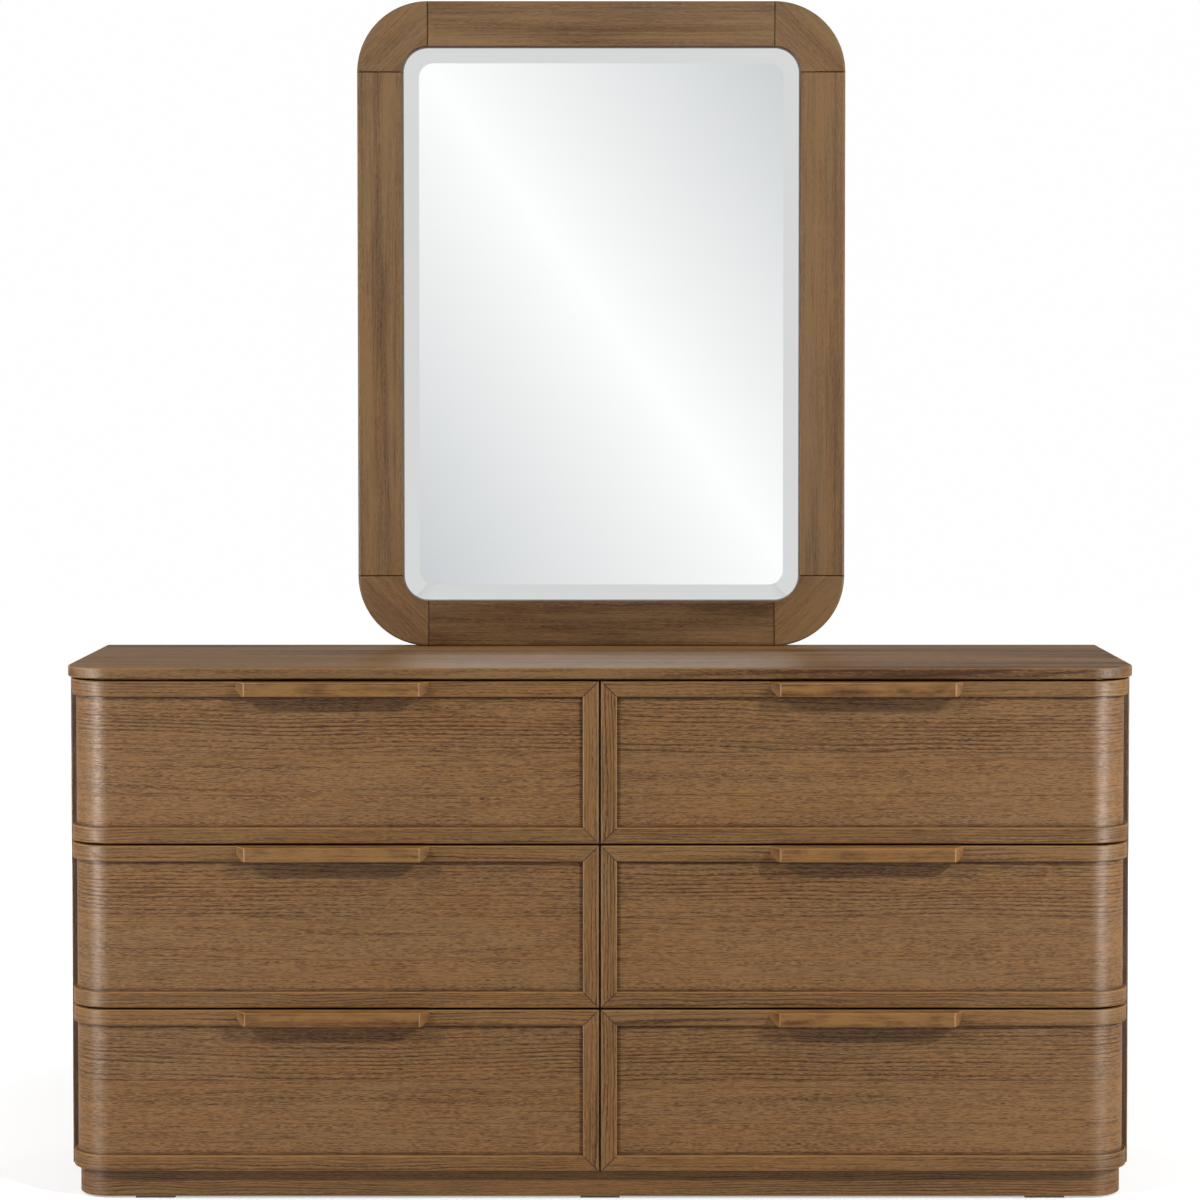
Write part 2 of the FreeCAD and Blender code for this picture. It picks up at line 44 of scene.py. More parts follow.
# Sizes in millimetres, as in the part's source. The small roundings and grooves are the scene's own
METRES = 0.001
HALF_TOP = 813.0
FRONT_EDGE = -231.0
BACK_EDGE = 226.0
CASE_TOP = 795.0
TOP_SURFACE = 812.0
TOP_RADIUS = 70.0
TOP_ROUND = 2.5
BOARD = 18.0

SIDE_FRONT = -145.0
SIDE_OUTER = 812.8
SIDE_INNER = 794.8
SIDE_INNER_ROUND = 0.8
SIDE_OUTER_ROUND = 2.5
SIDE_BACK_ROUND = 1.2
BACK_THICKNESS = 6.0
BACK_RABBET = 9.0
RABBET_ROUND = 0.4

PLINTH_TOP = 41.0
PLINTH_BOTTOM = 3.0
PLINTH_FRONT = -207.0
PLINTH_SIDE = 798.0
PLINTH_RADIUS = 50.0
PLINTH_JOINT = -137.0
PLINTH_BACK = 220.0
PLINTH_ROUNDS = (1.5, 1.0, 0.5, 0.5)

FRONT_HEIGHT = 246.5
FRONT_INSET = 6.0
FRONT_ROUND = 0.5
FRONT_BACK_ROUND = 1.0
HALF_GAP = 1.75
RETURN_END = -149.0
BORDER_WIDTH = 24.0
BORDER_RELIEF = 6.0
BORDER_ROUNDS = (2.0, 2.0, 0.3, 0.3)
MITRE_GROOVE = 0.7
MITRE_RUN = 1.5

HANDLE_MIDDLE = (HALF_GAP + HALF_TOP - FRONT_INSET) / 2
HANDLE_HALF = 146.0
HANDLE_SLANT = 13.5
HANDLE_HEIGHT = 21.5
HANDLE_REACH = 24.0
HANDLE_DROP = 0.5
HANDLE_ROUND = 2.0
HANDLE_BACK_ROUND = 0.3
HANDLE_GRIP = (16.0, 9.0)
HANDLE_GRIP_ROUND = 1.5

BOX_X = (21.7, 741.0)
BOX_Y = (-201.0, 189.0)
BOX_BACK_SETBACK = 10.0
BOX_RISE = 22.0
BOX_HEIGHT = 190.0
BOX_BOARD = 12.0
BOX_BOTTOM = (10.0, 15.0)
BOX_EASE = 0.4
DOVETAILS = 5
PIN_NARROW_SHARE = 0.14
PIN_WIDE_SHARE = 0.19

MIRROR_FRONT = 198.0
MIRROR_MIDDLE = 1337.5
MIRROR_HALF = (397.5, 525.5)
MIRROR_RADIUS = 115.0
MEMBER_WIDTH = 74.3
MEMBER_DEPTH = 28.0
MEMBER_INNER_ROUND = 3.0
MEMBER_OUTER_ROUND = 4.0
MEMBER_BACK_ROUND = 1.0
LIP = (7.0, 11.0)
LIP_ROUND = 0.5
JOINT_GROOVE = 1.3
GLASS_BACK = 213.14
GLASS_EDGE = 3.7
GLASS_THICKNESS = 5.0
GLASS_OVERLAP = 6.0
GLASS_BEVEL = 25.9
FIELD_RADIUS = 24.0

ROWS = (("top", 545.0), ("middle", 295.0), ("bottom", 45.0))
COLUMNS = (("left", -1), ("right", 1))
PLACES = [(f"{row}_{column}", sign, z0) for row, z0 in ROWS for column, sign in COLUMNS]
ARC_STEPS = 28
ROUND_STEPS = 4

# Smooth shading stops at edges sharper than this, in degrees
SHARP_ANGLE = 40
GLASS_SHARP_ANGLE = 1.5

# Shades added to a board's tone, and where some end: painted shade on the sides' front faces and the mirror
# frame's lip, glaze and painted shade beside the drawer borders, end grain, dark joints, a darker mirror
# bottom rail
SIDE_FRONT_PAINTED_SHADE = 6.0
SIDE_EDGE_WIDTH = 0.2
GLAZE_AND_SHADE_WIDTH = 7.0
GLAZE_AND_PAINTED_SHADE = 4.2
END_SHADE = 5.5
JOINT_SHADE = 9.0
LIP_PAINTED_SHADE = 8.0
LIP_PAINTED_SHADE_START = 0.5
BOTTOM_RAIL_SHADE = 1.6

# From board to board the grain moves on along the fibre, and the tone takes another of a few levels
BOARD_STRIDE = 7310.0
TONE_STRIDE = 37
TONE_LEVELS = 11


# Meshes are swept from profiles, and each vertex carries its place in the wood's grain

class Builder:
    """Collects swept shapes of one piece."""

    def __init__(self):
        self.mesh = bmesh.new()
        self.grain = self.mesh.verts.layers.float_vector.new("grain")
        self.tone = self.mesh.verts.layers.float.new("tone")
        self.edge = self.mesh.verts.layers.float.new("edge")

    def sweep(self, stations, tone=0.0):
        """Skins a row of closed profiles. Each point is a place, its grain and whether it lies on an edge.

        A fourth value, where there is one, darkens the point.
        """
        rings = []
        for station in stations:
            ring = []
            for place, grain, edge, *shade in station:
                vert = self.mesh.verts.new(Vector(place) * METRES)
                vert[self.grain] = Vector(grain) * METRES
                vert[self.tone] = tone + sum(shade)
                vert[self.edge] = edge
                ring.append(vert)
            rings.append(ring)
        count = len(rings[0])
        for first, second in zip(rings, rings[1:]):
            for index in range(count):
                following = (index + 1) % count
                self.mesh.faces.new((first[index], first[following], second[following], second[index]))
        self.mesh.faces.new(rings[0])
        self.mesh.faces.new(reversed(rings[-1]))

    def finish(self, name, material, body, replaced, sharp=SHARP_ANGLE, ease=0.0):
        """Makes the piece, which rides on a body and stands for the replaced nodes."""
        bmesh.ops.recalc_face_normals(self.mesh, faces=self.mesh.faces)
        mesh = bpy.data.meshes.new(name)
        self.mesh.to_mesh(mesh)
        self.mesh.free()
        mesh.shade_smooth()
        mesh.set_sharp_from_angle(angle=math.radians(sharp))
        piece = bpy.data.objects.new(name, mesh)
        scene.collection.objects.link(piece)
        piece.data.materials.append(material)
        if ease:
            bevel = piece.modifiers.new("eased edges", "BEVEL")
            bevel.width = ease * METRES
            bevel.segments = 2
            bevel.limit_method = "ANGLE"
        normals = piece.modifiers.new("weighted normals", "WEIGHTED_NORMAL")
        normals.keep_sharp = True
        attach(piece, body)
        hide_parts(*replaced)
        return piece


boards = itertools.count(1)


def next_board():
    """The grain offset along the fibre and the tone of the next board."""
    number = next(boards)
    tone = ((number * TONE_STRIDE) % TONE_LEVELS) / (TONE_LEVELS - 1) - 0.5
    return number * BOARD_STRIDE, tone


def rounded_loop(corners):
    """A closed profile from corners with radii. Gives points as (a, b, whether on a rounding)."""
    points = []
    count = len(corners)
    for index, (a, b, radius) in enumerate(corners):
        here = Vector((a, b))
        before = (Vector(corners[index - 1][:2]) - here).normalized()
        after = (Vector(corners[(index + 1) % count][:2]) - here).normalized()
        if not radius:
            points.append((a, b, 0.0))
            continue
        half = before.angle(after) / 2
        reach = radius / math.tan(half)
        centre = here + (before + after).normalized() * (radius / math.sin(half))
        start = here + before * reach - centre
        end = here + after * reach - centre
        turn = start.angle_signed(end)
        for step in range(ROUND_STEPS + 1):
            angle = -turn * step / ROUND_STEPS
            cos, sin = math.cos(angle), math.sin(angle)
            point = centre + Vector((start.x * cos - start.y * sin, start.x * sin + start.y * cos))
            points.append((point.x, point.y, 0.0 if step in (0, ROUND_STEPS) else 1.0))
    return points


def box_corners(a0, a1, b0, b1, radii):
    """Four corners with radii, as rounded_loop takes them."""
    return [(a0, b0, radii[0]), (a1, b0, radii[1]), (a1, b1, radii[2]), (a0, b1, radii[3])]


def corner_path(front, side, radius, x_start, y_end):
    """Stations along the front, round the right corner and back along the side.

    Each is the length along the outer line and a function from depth to a plan point.
    """
    centre_x = side - radius
    centre_y = front + radius
    path = [(x_start, lambda depth: (x_start, front + depth))]
    for step in range(ARC_STEPS + 1):
        angle = math.pi / 2 * step / ARC_STEPS

        def on_arc(depth, angle=angle):
            reach = radius - depth
            return centre_x + reach * math.sin(angle), centre_y - reach * math.cos(angle)

        path.append((centre_x + radius * angle, on_arc))
    length = centre_x + radius * math.pi / 2 + y_end - centre_y
    path.append((length, lambda depth: (side - depth, y_end)))
    return path


def wrap_stations(path, profile, sign, shift, base):
    """Profiles of height and depth along a corner path, for the right-hand or left-hand side."""
    stations = []
    for length, place in path:
        station = []
        for height, depth, edge in profile:
            x, y = place(depth)
            station.append(((sign * x, y, height), (length + shift, height - base, depth), edge))
        stations.append(station)
    return stations


def grooved(depth, groove, at_joint):
    """Front points dip at a joint, so that two members meet in a fine V-groove."""
    return max(depth, groove) if at_joint else depth


# Materials

def colour(red, green, blue):
    """A linear colour from screen values of 0 to 255."""
    def linear(value):
        value /= 255
        return value / 12.92 if value <= 0.04045 else ((value + 0.055) / 1.055) ** 2.4
    return linear(red), linear(green), linear(blue), 1.0


def scaled(tint, factor):
    """An opaque colour whose channels are a multiple of another's."""
    return tuple(factor * part for part in tint[:3]) + (1.0,)


def feed(tree, socket, value):
    """Links a socket to another, or sets it to a plain value."""
    if isinstance(value, bpy.types.NodeSocket):
        tree.links.new(value, socket)
    else:
        socket.default_value = value


def math_node(tree, operation, *values, clamp=False):
    node = tree.nodes.new("ShaderNodeMath")
    node.operation = operation
    node.use_clamp = clamp
    for socket, value in zip(node.inputs, values):
        feed(tree, socket, value)
    return node.outputs[0]


def mix_node(tree, factor, first, second, blend="MIX"):
    """A mix of two colours."""
    node = tree.nodes.new("ShaderNodeMix")
    node.data_type = "RGBA"
    node.blend_type = blend
    feed(tree, node.inputs[0], factor)
    feed(tree, node.inputs[6], first)
    feed(tree, node.inputs[7], second)
    return node.outputs[2]


def mix_value(tree, factor, first, second):
    """A mix of two numbers."""
    node = tree.nodes.new("ShaderNodeMix")
    node.clamp_factor = True
    feed(tree, node.inputs[0], factor)
    feed(tree, node.inputs[2], first)
    feed(tree, node.inputs[3], second)
    return node.outputs[0]


def noise_node(tree, vector, scales, detail, roughness=0.5):
    """Noise stretched by a scale for each axis."""
    stretch = tree.nodes.new("ShaderNodeVectorMath")
    stretch.operation = "MULTIPLY"
    feed(tree, stretch.inputs[0], vector)
    stretch.inputs[1].default_value = scales
    node = tree.nodes.new("ShaderNodeTexNoise")
    node.inputs["Scale"].default_value = 1.0
    node.inputs["Detail"].default_value = detail
    node.inputs["Roughness"].default_value = roughness
    tree.links.new(stretch.outputs[0], node.inputs["Vector"])
    return node.outputs["Fac"]


def centred(tree, noise):
    """Noise about zero."""
    return math_node(tree, "SUBTRACT", noise, 0.5)


def ramp_node(tree, value, stops):
    """A grey level from stops of position and level."""
    node = tree.nodes.new("ShaderNodeValToRGB")
    ramp = node.color_ramp
    while len(ramp.elements) < len(stops):
        ramp.elements.new(0.5)
    for element, (position, level) in zip(ramp.elements, stops):
        element.position = position
        element.color = (level, level, level, 1.0)
    feed(tree, node.inputs[0], value)
    return node.outputs[0]


def range_node(tree, value, low, high, to_low=0.0, to_high=1.0):
    """A smooth step from one level to another."""
    node = tree.nodes.new("ShaderNodeMapRange")
    node.interpolation_type = "SMOOTHSTEP"
    feed(tree, node.inputs[0], value)
    for socket, number in zip(node.inputs[1:5], (low, high, to_low, to_high)):
        socket.default_value = number
    return node.outputs[0]


def split_node(tree, vector):
    node = tree.nodes.new("ShaderNodeSeparateXYZ")
    tree.links.new(vector, node.inputs[0])
    return node.outputs


def join_node(tree, *values):
    node = tree.nodes.new("ShaderNodeCombineXYZ")
    for socket, value in zip(node.inputs, values):
        feed(tree, socket, value)
    return node.outputs[0]


def attribute_node(tree, name):
    node = tree.nodes.new("ShaderNodeAttribute")
    node.attribute_name = name
    return node


def object_place(tree):
    return tree.nodes.new("ShaderNodeTexCoord").outputs["Object"]


def add_relief(tree, shader, height, strength, distance):
    relief = tree.nodes.new("ShaderNodeBump")
    relief.inputs["Strength"].default_value = strength
    relief.inputs["Distance"].default_value = distance
    tree.links.new(height, relief.inputs["Height"])
    tree.links.new(relief.outputs[0], shader.inputs["Normal"])


def blank_material(name):
    material = bpy.data.materials.new(name)
    material.use_nodes = True
    tree = material.node_tree
    tree.nodes.clear()
    return material, tree, tree.nodes.new("ShaderNodeOutputMaterial")


def new_material(name):
    material, tree, output = blank_material(name)
    shader = tree.nodes.new("ShaderNodeBsdfPrincipled")
    tree.links.new(shader.outputs[0], output.inputs[0])
    return material, tree, shader


def object_grain(tree, order, shift):
    """Grain places from object coordinates: order names the axes along, across and through the board."""
    parts = split_node(tree, object_place(tree))
    moved = tree.nodes.new("ShaderNodeVectorMath")
    tree.links.new(join_node(tree, *(parts["XYZ".index(axis)] for axis in order)), moved.inputs[0])
    moved.inputs[1].default_value = shift
    return moved.outputs[0]


# Scales of the wood's noises, per metre along, across and through the board
FINE_WAVE = (5.0, 42.0, 42.0)
PITH_WAVE = (0.22, 0.0, 0.0)
SINK_WAVE = (0.31, 0.4, 0.0)
PATCH_SCALE = (1.6, 26.0, 26.0)
ROW_SCALE = (0.0, 330.0, 330.0)
STREAK_SCALE = (11.0, 380.0, 380.0)
FIBRE_SCALE = (22.0, 900.0, 900.0)
DASH_SCALE = (60.0, 700.0, 700.0)
FLECK_SCALE = (125.0, 700.0, 700.0)
WARMTH_SCALE = (3.0, 24.0, 24.0)
BAND_LENGTH_SCALE = 1.1

# How the noises become figure. Ranges are the noise levels between which a mark fades in
LEAF_SHIFT = 2.37
SEAM_RANGE = (0.0004, 0.0012)
SEAM_SHARE = 0.25
FINE_WANDER = 0.16
RING_STOPS = ((0.0, 0.1), (0.08, 1.0), (0.25, 0.85), (0.5, 0.15), (1.0, 0.0))
PATCH_RANGE = (0.36, 0.64)
PATCH_FLOOR = 0.4
ROW_OFFSET = 0.16
DASH_RANGE = (0.54, 0.68)
FLECK_RANGE = (0.34, 0.66)
FIGURE_ROUGHNESS = 0.6
BASE_SHARE = 0.2
FIBRE_SHARE = 0.7
TONE_SHARE = 0.16
SHARE_LIMITS = (-0.35, 1.0)
WARMTH_RANGE = (0.33, 0.67)
COOL_TINT = (0.97, 1.0, 1.05, 1.0)
WARM_TINT = (1.03, 0.99, 0.94, 1.0)
# How far roundings lighten past the light colour, for wear and as painted highlight
WEAR_AND_SHEEN_LIFT = 1.3
PORE_ROUGHNESS = 0.16
FIBRE_ROUGHNESS = 0.08
FIBRE_HEIGHT = 0.6
BUMP_STRENGTH = 0.25
BUMP_DISTANCE = 0.0004


def wood_material(name, light, dark, pore, *, order=None, shift=(0, 0, 0), period=0.0032, centre=0.0,
                  sway=0.05, depth=0.03, depth_sway=0.04, rings=0.8, ring_floor=0.2, weave=0.5,
                  streaks=0.6, bands=0.0, band_scale=18.0, wear_and_sheen=0.5, dashes=0.3, clouds=0.3,
                  cloud_scale=(4.0, 16.0, 16.0), wander=0.016, wave=(0.9, 7.0), leaves=(),
                  roughness=0.36, specular=0.22):
    """Wood cut from a tree of rings. Without an order of axes, the mesh carries grain, tone and edges."""
    material, tree, shader = new_material(name)
    if order:
        grain = object_grain(tree, order, shift)
        tone = None
    else:
        grain = attribute_node(tree, "grain").outputs["Vector"]
        tone = attribute_node(tree, "tone").outputs["Fac"]
    along, across, through = split_node(tree, grain)

    # Each veneer leaf takes its figure from another part of the tree and has rings of its own strength
    ring_share = rings
    seam = 0.0
    for line, strength in leaves:
        beyond = math_node(tree, "GREATER_THAN", across, line)
        along = math_node(tree, "MULTIPLY_ADD", beyond, LEAF_SHIFT, along)
        ring_share = mix_value(tree, beyond, ring_share, strength)
        gap = math_node(tree, "ABSOLUTE", math_node(tree, "SUBTRACT", across, line))
        seam = math_node(tree, "ADD", range_node(tree, gap, *SEAM_RANGE, 1.0, 0.0), seam)
    place = join_node(tree, along, across, through)

    # Rings round a pith that sways along the board
    wide = noise_node(tree, place, (wave[0], wave[1], wave[1]), 2.0)
    fine = noise_node(tree, place, FINE_WAVE, 2.0)
    bent = math_node(tree, "MULTIPLY_ADD", centred(tree, wide), wander, across)
    bent = math_node(tree, "MULTIPLY_ADD", centred(tree, fine), wander * FINE_WANDER, bent)
    pith = noise_node(tree, place, PITH_WAVE, 1.0)
    pith_across = math_node(tree, "MULTIPLY_ADD", centred(tree, pith), sway * 2, centre)
    sink = noise_node(tree, place, SINK_WAVE, 1.0)
    pith_depth = math_node(tree, "MULTIPLY_ADD", sink, depth_sway, math_node(tree, "ADD", through, depth))
    offset = math_node(tree, "SUBTRACT", bent, pith_across)
    squares = math_node(tree, "MULTIPLY_ADD", offset, offset, math_node(tree, "POWER", pith_depth, 2.0))
    radius = math_node(tree, "DIVIDE", math_node(tree, "SQRT", squares), period)
    ring_index = math_node(tree, "FLOOR", radius)
    ring_line = ramp_node(tree, math_node(tree, "FRACT", radius), RING_STOPS)
    ring_noise = tree.nodes.new("ShaderNodeTexWhiteNoise")
    ring_noise.noise_dimensions = "1D"
    tree.links.new(ring_index, ring_noise.inputs["W"])
    ring_power = math_node(tree, "MULTIPLY_ADD", ring_noise.outputs["Value"], 1.0 - ring_floor, ring_floor)
    patch = range_node(tree, noise_node(tree, place, PATCH_SCALE, 1.0), *PATCH_RANGE, PATCH_FLOOR, 1.0)
    ring_dark = math_node(tree, "MULTIPLY", math_node(tree, "MULTIPLY", ring_line, ring_power), patch)

    # Streaks and fibres, drawn out along the board, and short flecks and pores, offset from row to row
    rows = noise_node(tree, place, ROW_SCALE, 1.0)
    row_along = math_node(tree, "MULTIPLY_ADD", centred(tree, rows), ROW_OFFSET, along)
    staggered = join_node(tree, row_along, across, through)
    streak = noise_node(tree, place, STREAK_SCALE, 2.0, FIGURE_ROUGHNESS)
    fibre = noise_node(tree, place, FIBRE_SCALE, 2.0, FIGURE_ROUGHNESS)
    dash = range_node(tree, noise_node(tree, staggered, DASH_SCALE, 1.0), *DASH_RANGE)
    fleck = range_node(tree, noise_node(tree, staggered, FLECK_SCALE, 1.0), *FLECK_RANGE, -1.0, 1.0)
    cloud = noise_node(tree, place, cloud_scale, 3.0)
    band = noise_node(tree, place, (BAND_LENGTH_SCALE, band_scale, band_scale), 2.0, FIGURE_ROUGHNESS)

    # Share of the dark colour
    share = math_node(tree, "MULTIPLY_ADD", ring_dark, ring_share, BASE_SHARE)
    for field, amount in ((streak, streaks), (fibre, weave * FIBRE_SHARE), (cloud, clouds), (band, bands)):
        share = math_node(tree, "MULTIPLY_ADD", centred(tree, field), amount * 2, share)
    share = math_node(tree, "MULTIPLY_ADD", fleck, weave, share)
    share = math_node(tree, "MULTIPLY_ADD", seam, SEAM_SHARE, share)
    if tone is not None:
        share = math_node(tree, "MULTIPLY_ADD", tone, TONE_SHARE, share)
    share = math_node(tree, "MAXIMUM", math_node(tree, "MINIMUM", share, SHARE_LIMITS[1]), SHARE_LIMITS[0])

    # Colour, with pores, warmer and cooler patches, and roundings lightened for wear and as painted highlight
    base = mix_node(tree, share, light, dark)
    base = mix_node(tree, math_node(tree, "MULTIPLY", dash, dashes), base, pore)
    warmth = range_node(tree, noise_node(tree, place, WARMTH_SCALE, 2.0), *WARMTH_RANGE)
    base = mix_node(tree, 1.0, base, mix_node(tree, warmth, COOL_TINT, WARM_TINT), "MULTIPLY")
    if tone is not None:
        rounding = attribute_node(tree, "edge").outputs["Fac"]
        base = mix_node(tree, math_node(tree, "MULTIPLY", rounding, wear_and_sheen), base, scaled(light, WEAR_AND_SHEEN_LIFT))
    tree.links.new(base, shader.inputs["Base Color"])

    # Finish: satin, a little rougher in the pores
    rough = math_node(tree, "MULTIPLY_ADD", dash, PORE_ROUGHNESS, roughness)
    rough = math_node(tree, "MULTIPLY_ADD", fibre, FIBRE_ROUGHNESS, rough)
    tree.links.new(rough, shader.inputs["Roughness"])
    shader.inputs["Specular IOR Level"].default_value = specular
    height = math_node(tree, "MULTIPLY_ADD", dash, -1.0, math_node(tree, "MULTIPLY", fibre, FIBRE_HEIGHT))
    add_relief(tree, shader, height, BUMP_STRENGTH, BUMP_DISTANCE)
    return material


LIGHT = colour(146, 108, 66)
DARK = colour(68, 39, 12)
PORE = colour(54, 32, 13)
RAIL_LIGHT = colour(143, 105, 61)
HANDLE_LIGHT = colour(145, 104, 56)
HANDLE_DARK = colour(80, 48, 16)
TOP_LIGHT = colour(135, 100, 59)
FRAME_LIGHT = colour(127, 97, 63)
FRAME_DARK = colour(66, 42, 18)
FRAME_PORE = colour(58, 38, 20)
INNER_LIGHT = colour(196, 166, 128)
INNER_DARK = colour(160, 128, 92)
INNER_PORE = colour(136, 106, 74)
PLY_LIGHT = colour(176, 143, 106)
PLY_DARK = colour(140, 109, 77)
PLY_PORE = colour(120, 92, 64)

panel_oak = wood_material("panel oak", LIGHT, DARK, PORE, period=0.0058, centre=0.1, sway=0.03, depth=0.02,
                          depth_sway=0.03, rings=0.2, ring_floor=0.55, wander=0.04, wave=(1.6, 7.0),
                          dashes=0.15, leaves=((0.072, 0.3), (0.138, 0.9)))
rail_oak = wood_material("rail oak", RAIL_LIGHT, DARK, PORE, period=0.003, centre=-0.008, sway=0.03,
                         depth=0.008, rings=0.85, ring_floor=0.5, weave=0.3, dashes=0.1, wander=0.022,
                         wave=(4.5, 16.0))
handle_oak = wood_material("handle oak", HANDLE_LIGHT, HANDLE_DARK, PORE, sway=0.03, weave=0.2, streaks=0.7,
                           dashes=0.1, clouds=1.1, cloud_scale=(22.0, 60.0, 60.0))
top_oak = wood_material("top oak", TOP_LIGHT, DARK, PORE, centre=0.25, sway=0.15, depth=0.02,
                        depth_sway=0.05, bands=2.1, leaves=((0.11, 0.5), (0.225, 0.6), (0.34, 0.5)))
frame_oak = wood_material("frame oak", FRAME_LIGHT, FRAME_DARK, FRAME_PORE, centre=0.03, depth=0.02,
                          depth_sway=0.05, rings=0.25, weave=0.22, streaks=0.45, bands=0.7,
                          band_scale=42.0, wear_and_sheen=0.1, dashes=0.1, clouds=0.5)
side_oak = wood_material("side oak", LIGHT, DARK, PORE, centre=0.2, sway=0.1, depth=0.02, depth_sway=0.05,
                         wear_and_sheen=0.1, leaves=((0.13, 0.5), (0.25, 0.8)))


def inner_wood(name, order=None, shift=(0, 0, 0)):
    return wood_material(name, INNER_LIGHT, INNER_DARK, INNER_PORE, order=order, shift=shift, rings=0.5,
                         weave=0.3, dashes=0.15, roughness=0.5, specular=0.3)


box_oak = inner_wood("drawer box wood")


# Top panel: its outline stacked through the rounded edge

def make_top():
    shift, tone = next_board()
    builder = Builder()
    layers = [(CASE_TOP, TOP_ROUND, 0.0)]
    for step in range(1, ROUND_STEPS + 1):
        angle = math.pi / 2 * step / ROUND_STEPS
        edge = 0.0 if step == ROUND_STEPS else 1.0
        layers.append((CASE_TOP + TOP_ROUND * (1 - math.cos(angle)), TOP_ROUND * (1 - math.sin(angle)), edge))
    layers += [(CASE_TOP + TOP_SURFACE - height, inset, edge) for height, inset, edge in reversed(layers)]
    stations = []
    for height, inset, edge in layers:
        path = corner_path(FRONT_EDGE + inset, HALF_TOP - inset, TOP_RADIUS - inset, 0.0, BACK_EDGE)
        right = [place(0.0) for length, place in path]
        outline = right + [(-x, y) for x, y in reversed(right[1:])]
        stations.append([((x, y, height), (x + shift, y - FRONT_EDGE, height - CASE_TOP), edge)
                         for x, y in outline])
    builder.sweep(stations, tone)
    builder.finish("wood_top_panel", top_oak, "case", ["top_panel"])


# Side panels: a rabbeted section run up the height

def make_sides():
    corners = [
        (SIDE_INNER, SIDE_FRONT, SIDE_INNER_ROUND),
        (SIDE_OUTER, SIDE_FRONT, SIDE_OUTER_ROUND),
        (SIDE_OUTER, BACK_EDGE, SIDE_BACK_ROUND),
        (SIDE_INNER + BACK_RABBET, BACK_EDGE, RABBET_ROUND),
        (SIDE_INNER + BACK_RABBET, BACK_EDGE - BACK_THICKNESS, 0.0),
        (SIDE_INNER, BACK_EDGE - BACK_THICKNESS, 0.0),
    ]
    profile = rounded_loop(corners)
    for name, sign in COLUMNS:
        shift, tone = next_board()
        builder = Builder()
        stations = []
        for height in (PLINTH_TOP, CASE_TOP):
            station = []
            for x, y, edge in profile:
                grain = (height + shift, y - SIDE_FRONT, SIDE_OUTER - x)
                # Front-face points are darkened: painted shade in the gap behind the drawer fronts' returns
                on_front = y < SIDE_FRONT + SIDE_EDGE_WIDTH
                station.append(((sign * x, y, height), grain, edge, SIDE_FRONT_PAINTED_SHADE * on_front))
            stations.append(station)
        builder.sweep(stations, tone)
        builder.finish(f"wood_{name}_side_panel", side_oak, "case", [f"{name}_side_panel"])


# Plinth: a board bent round both corners and its two side boards

def make_plinth():
    profile = rounded_loop(box_corners(PLINTH_BOTTOM, PLINTH_TOP, 0.0, BOARD, PLINTH_ROUNDS))
    shift, tone = next_board()
    builder = Builder()
    path = corner_path(PLINTH_FRONT, PLINTH_SIDE, PLINTH_RADIUS, 0.0, PLINTH_JOINT)
    left_path = [(-length, place) for length, place in reversed(path[1:])]
    stations = wrap_stations(left_path, profile, -1, shift, PLINTH_BOTTOM)
    stations += wrap_stations(path, profile, 1, shift, PLINTH_BOTTOM)
    builder.sweep(stations, tone)
    builder.finish("wood_plinth_front", rail_oak, "case", ["plinth_front"])
    builder = Builder()
    for sign in (-1, 1):
        shift, tone = next_board()
        stations = []
        for y in (PLINTH_JOINT, PLINTH_BACK):
            stations.append([((sign * (PLINTH_SIDE - depth), y, height),
                              (y + shift, height - PLINTH_BOTTOM, depth), edge)
                             for height, depth, edge in profile])
        builder.sweep(stations, tone)
    builder.finish("wood_plinth_sides", rail_oak, "case", ["plinth_sides"])


# Drawer fronts, their mitred borders and their handles

def make_front(place, sign, z0):
    shift, tone = next_board()
    builder = Builder()
    inset = FRONT_INSET + BORDER_RELIEF
    z1 = z0 + FRONT_HEIGHT
    low = (z0 + BORDER_WIDTH, z0 + BORDER_WIDTH + GLAZE_AND_SHADE_WIDTH)
    high = (z1 - BORDER_WIDTH - GLAZE_AND_SHADE_WIDTH, z1 - BORDER_WIDTH)
    corners = [(z0, 0.0, FRONT_ROUND)] + [(height, 0.0, 0.0) for height in low + high]
    corners += [(z1, 0.0, FRONT_ROUND), (z1, BOARD, FRONT_BACK_ROUND), (z0, BOARD, FRONT_BACK_ROUND)]
    inner = HALF_GAP + BORDER_WIDTH
    paths = [corner_path(FRONT_EDGE + inset, HALF_TOP - inset, TOP_RADIUS - inset, start, RETURN_END)
             for start in (HALF_GAP, inner, inner + GLAZE_AND_SHADE_WIDTH)]
    path = [each[0] for each in paths] + paths[0][1:]
    stations = []
    for station in wrap_stations(path, rounded_loop(corners), sign, shift, z0):
        glazed_and_shaded = []
        for spot, grain, edge in station:
            # Points by the borders are darkened: glaze, and painted shade where the raised border shades the
            # recessed panel
            by_border = grain[0] - shift <= inner or not low[1] <= spot[2] <= high[0]
            glazed_and_shaded.append((spot, grain, edge, GLAZE_AND_PAINTED_SHADE * by_border))
        stations.append(glazed_and_shaded)
    builder.sweep(stations, tone)
    builder.finish(f"wood_{place}_drawer_front", panel_oak, f"{place}_drawer",
                   [f"{place}_drawer_front"])


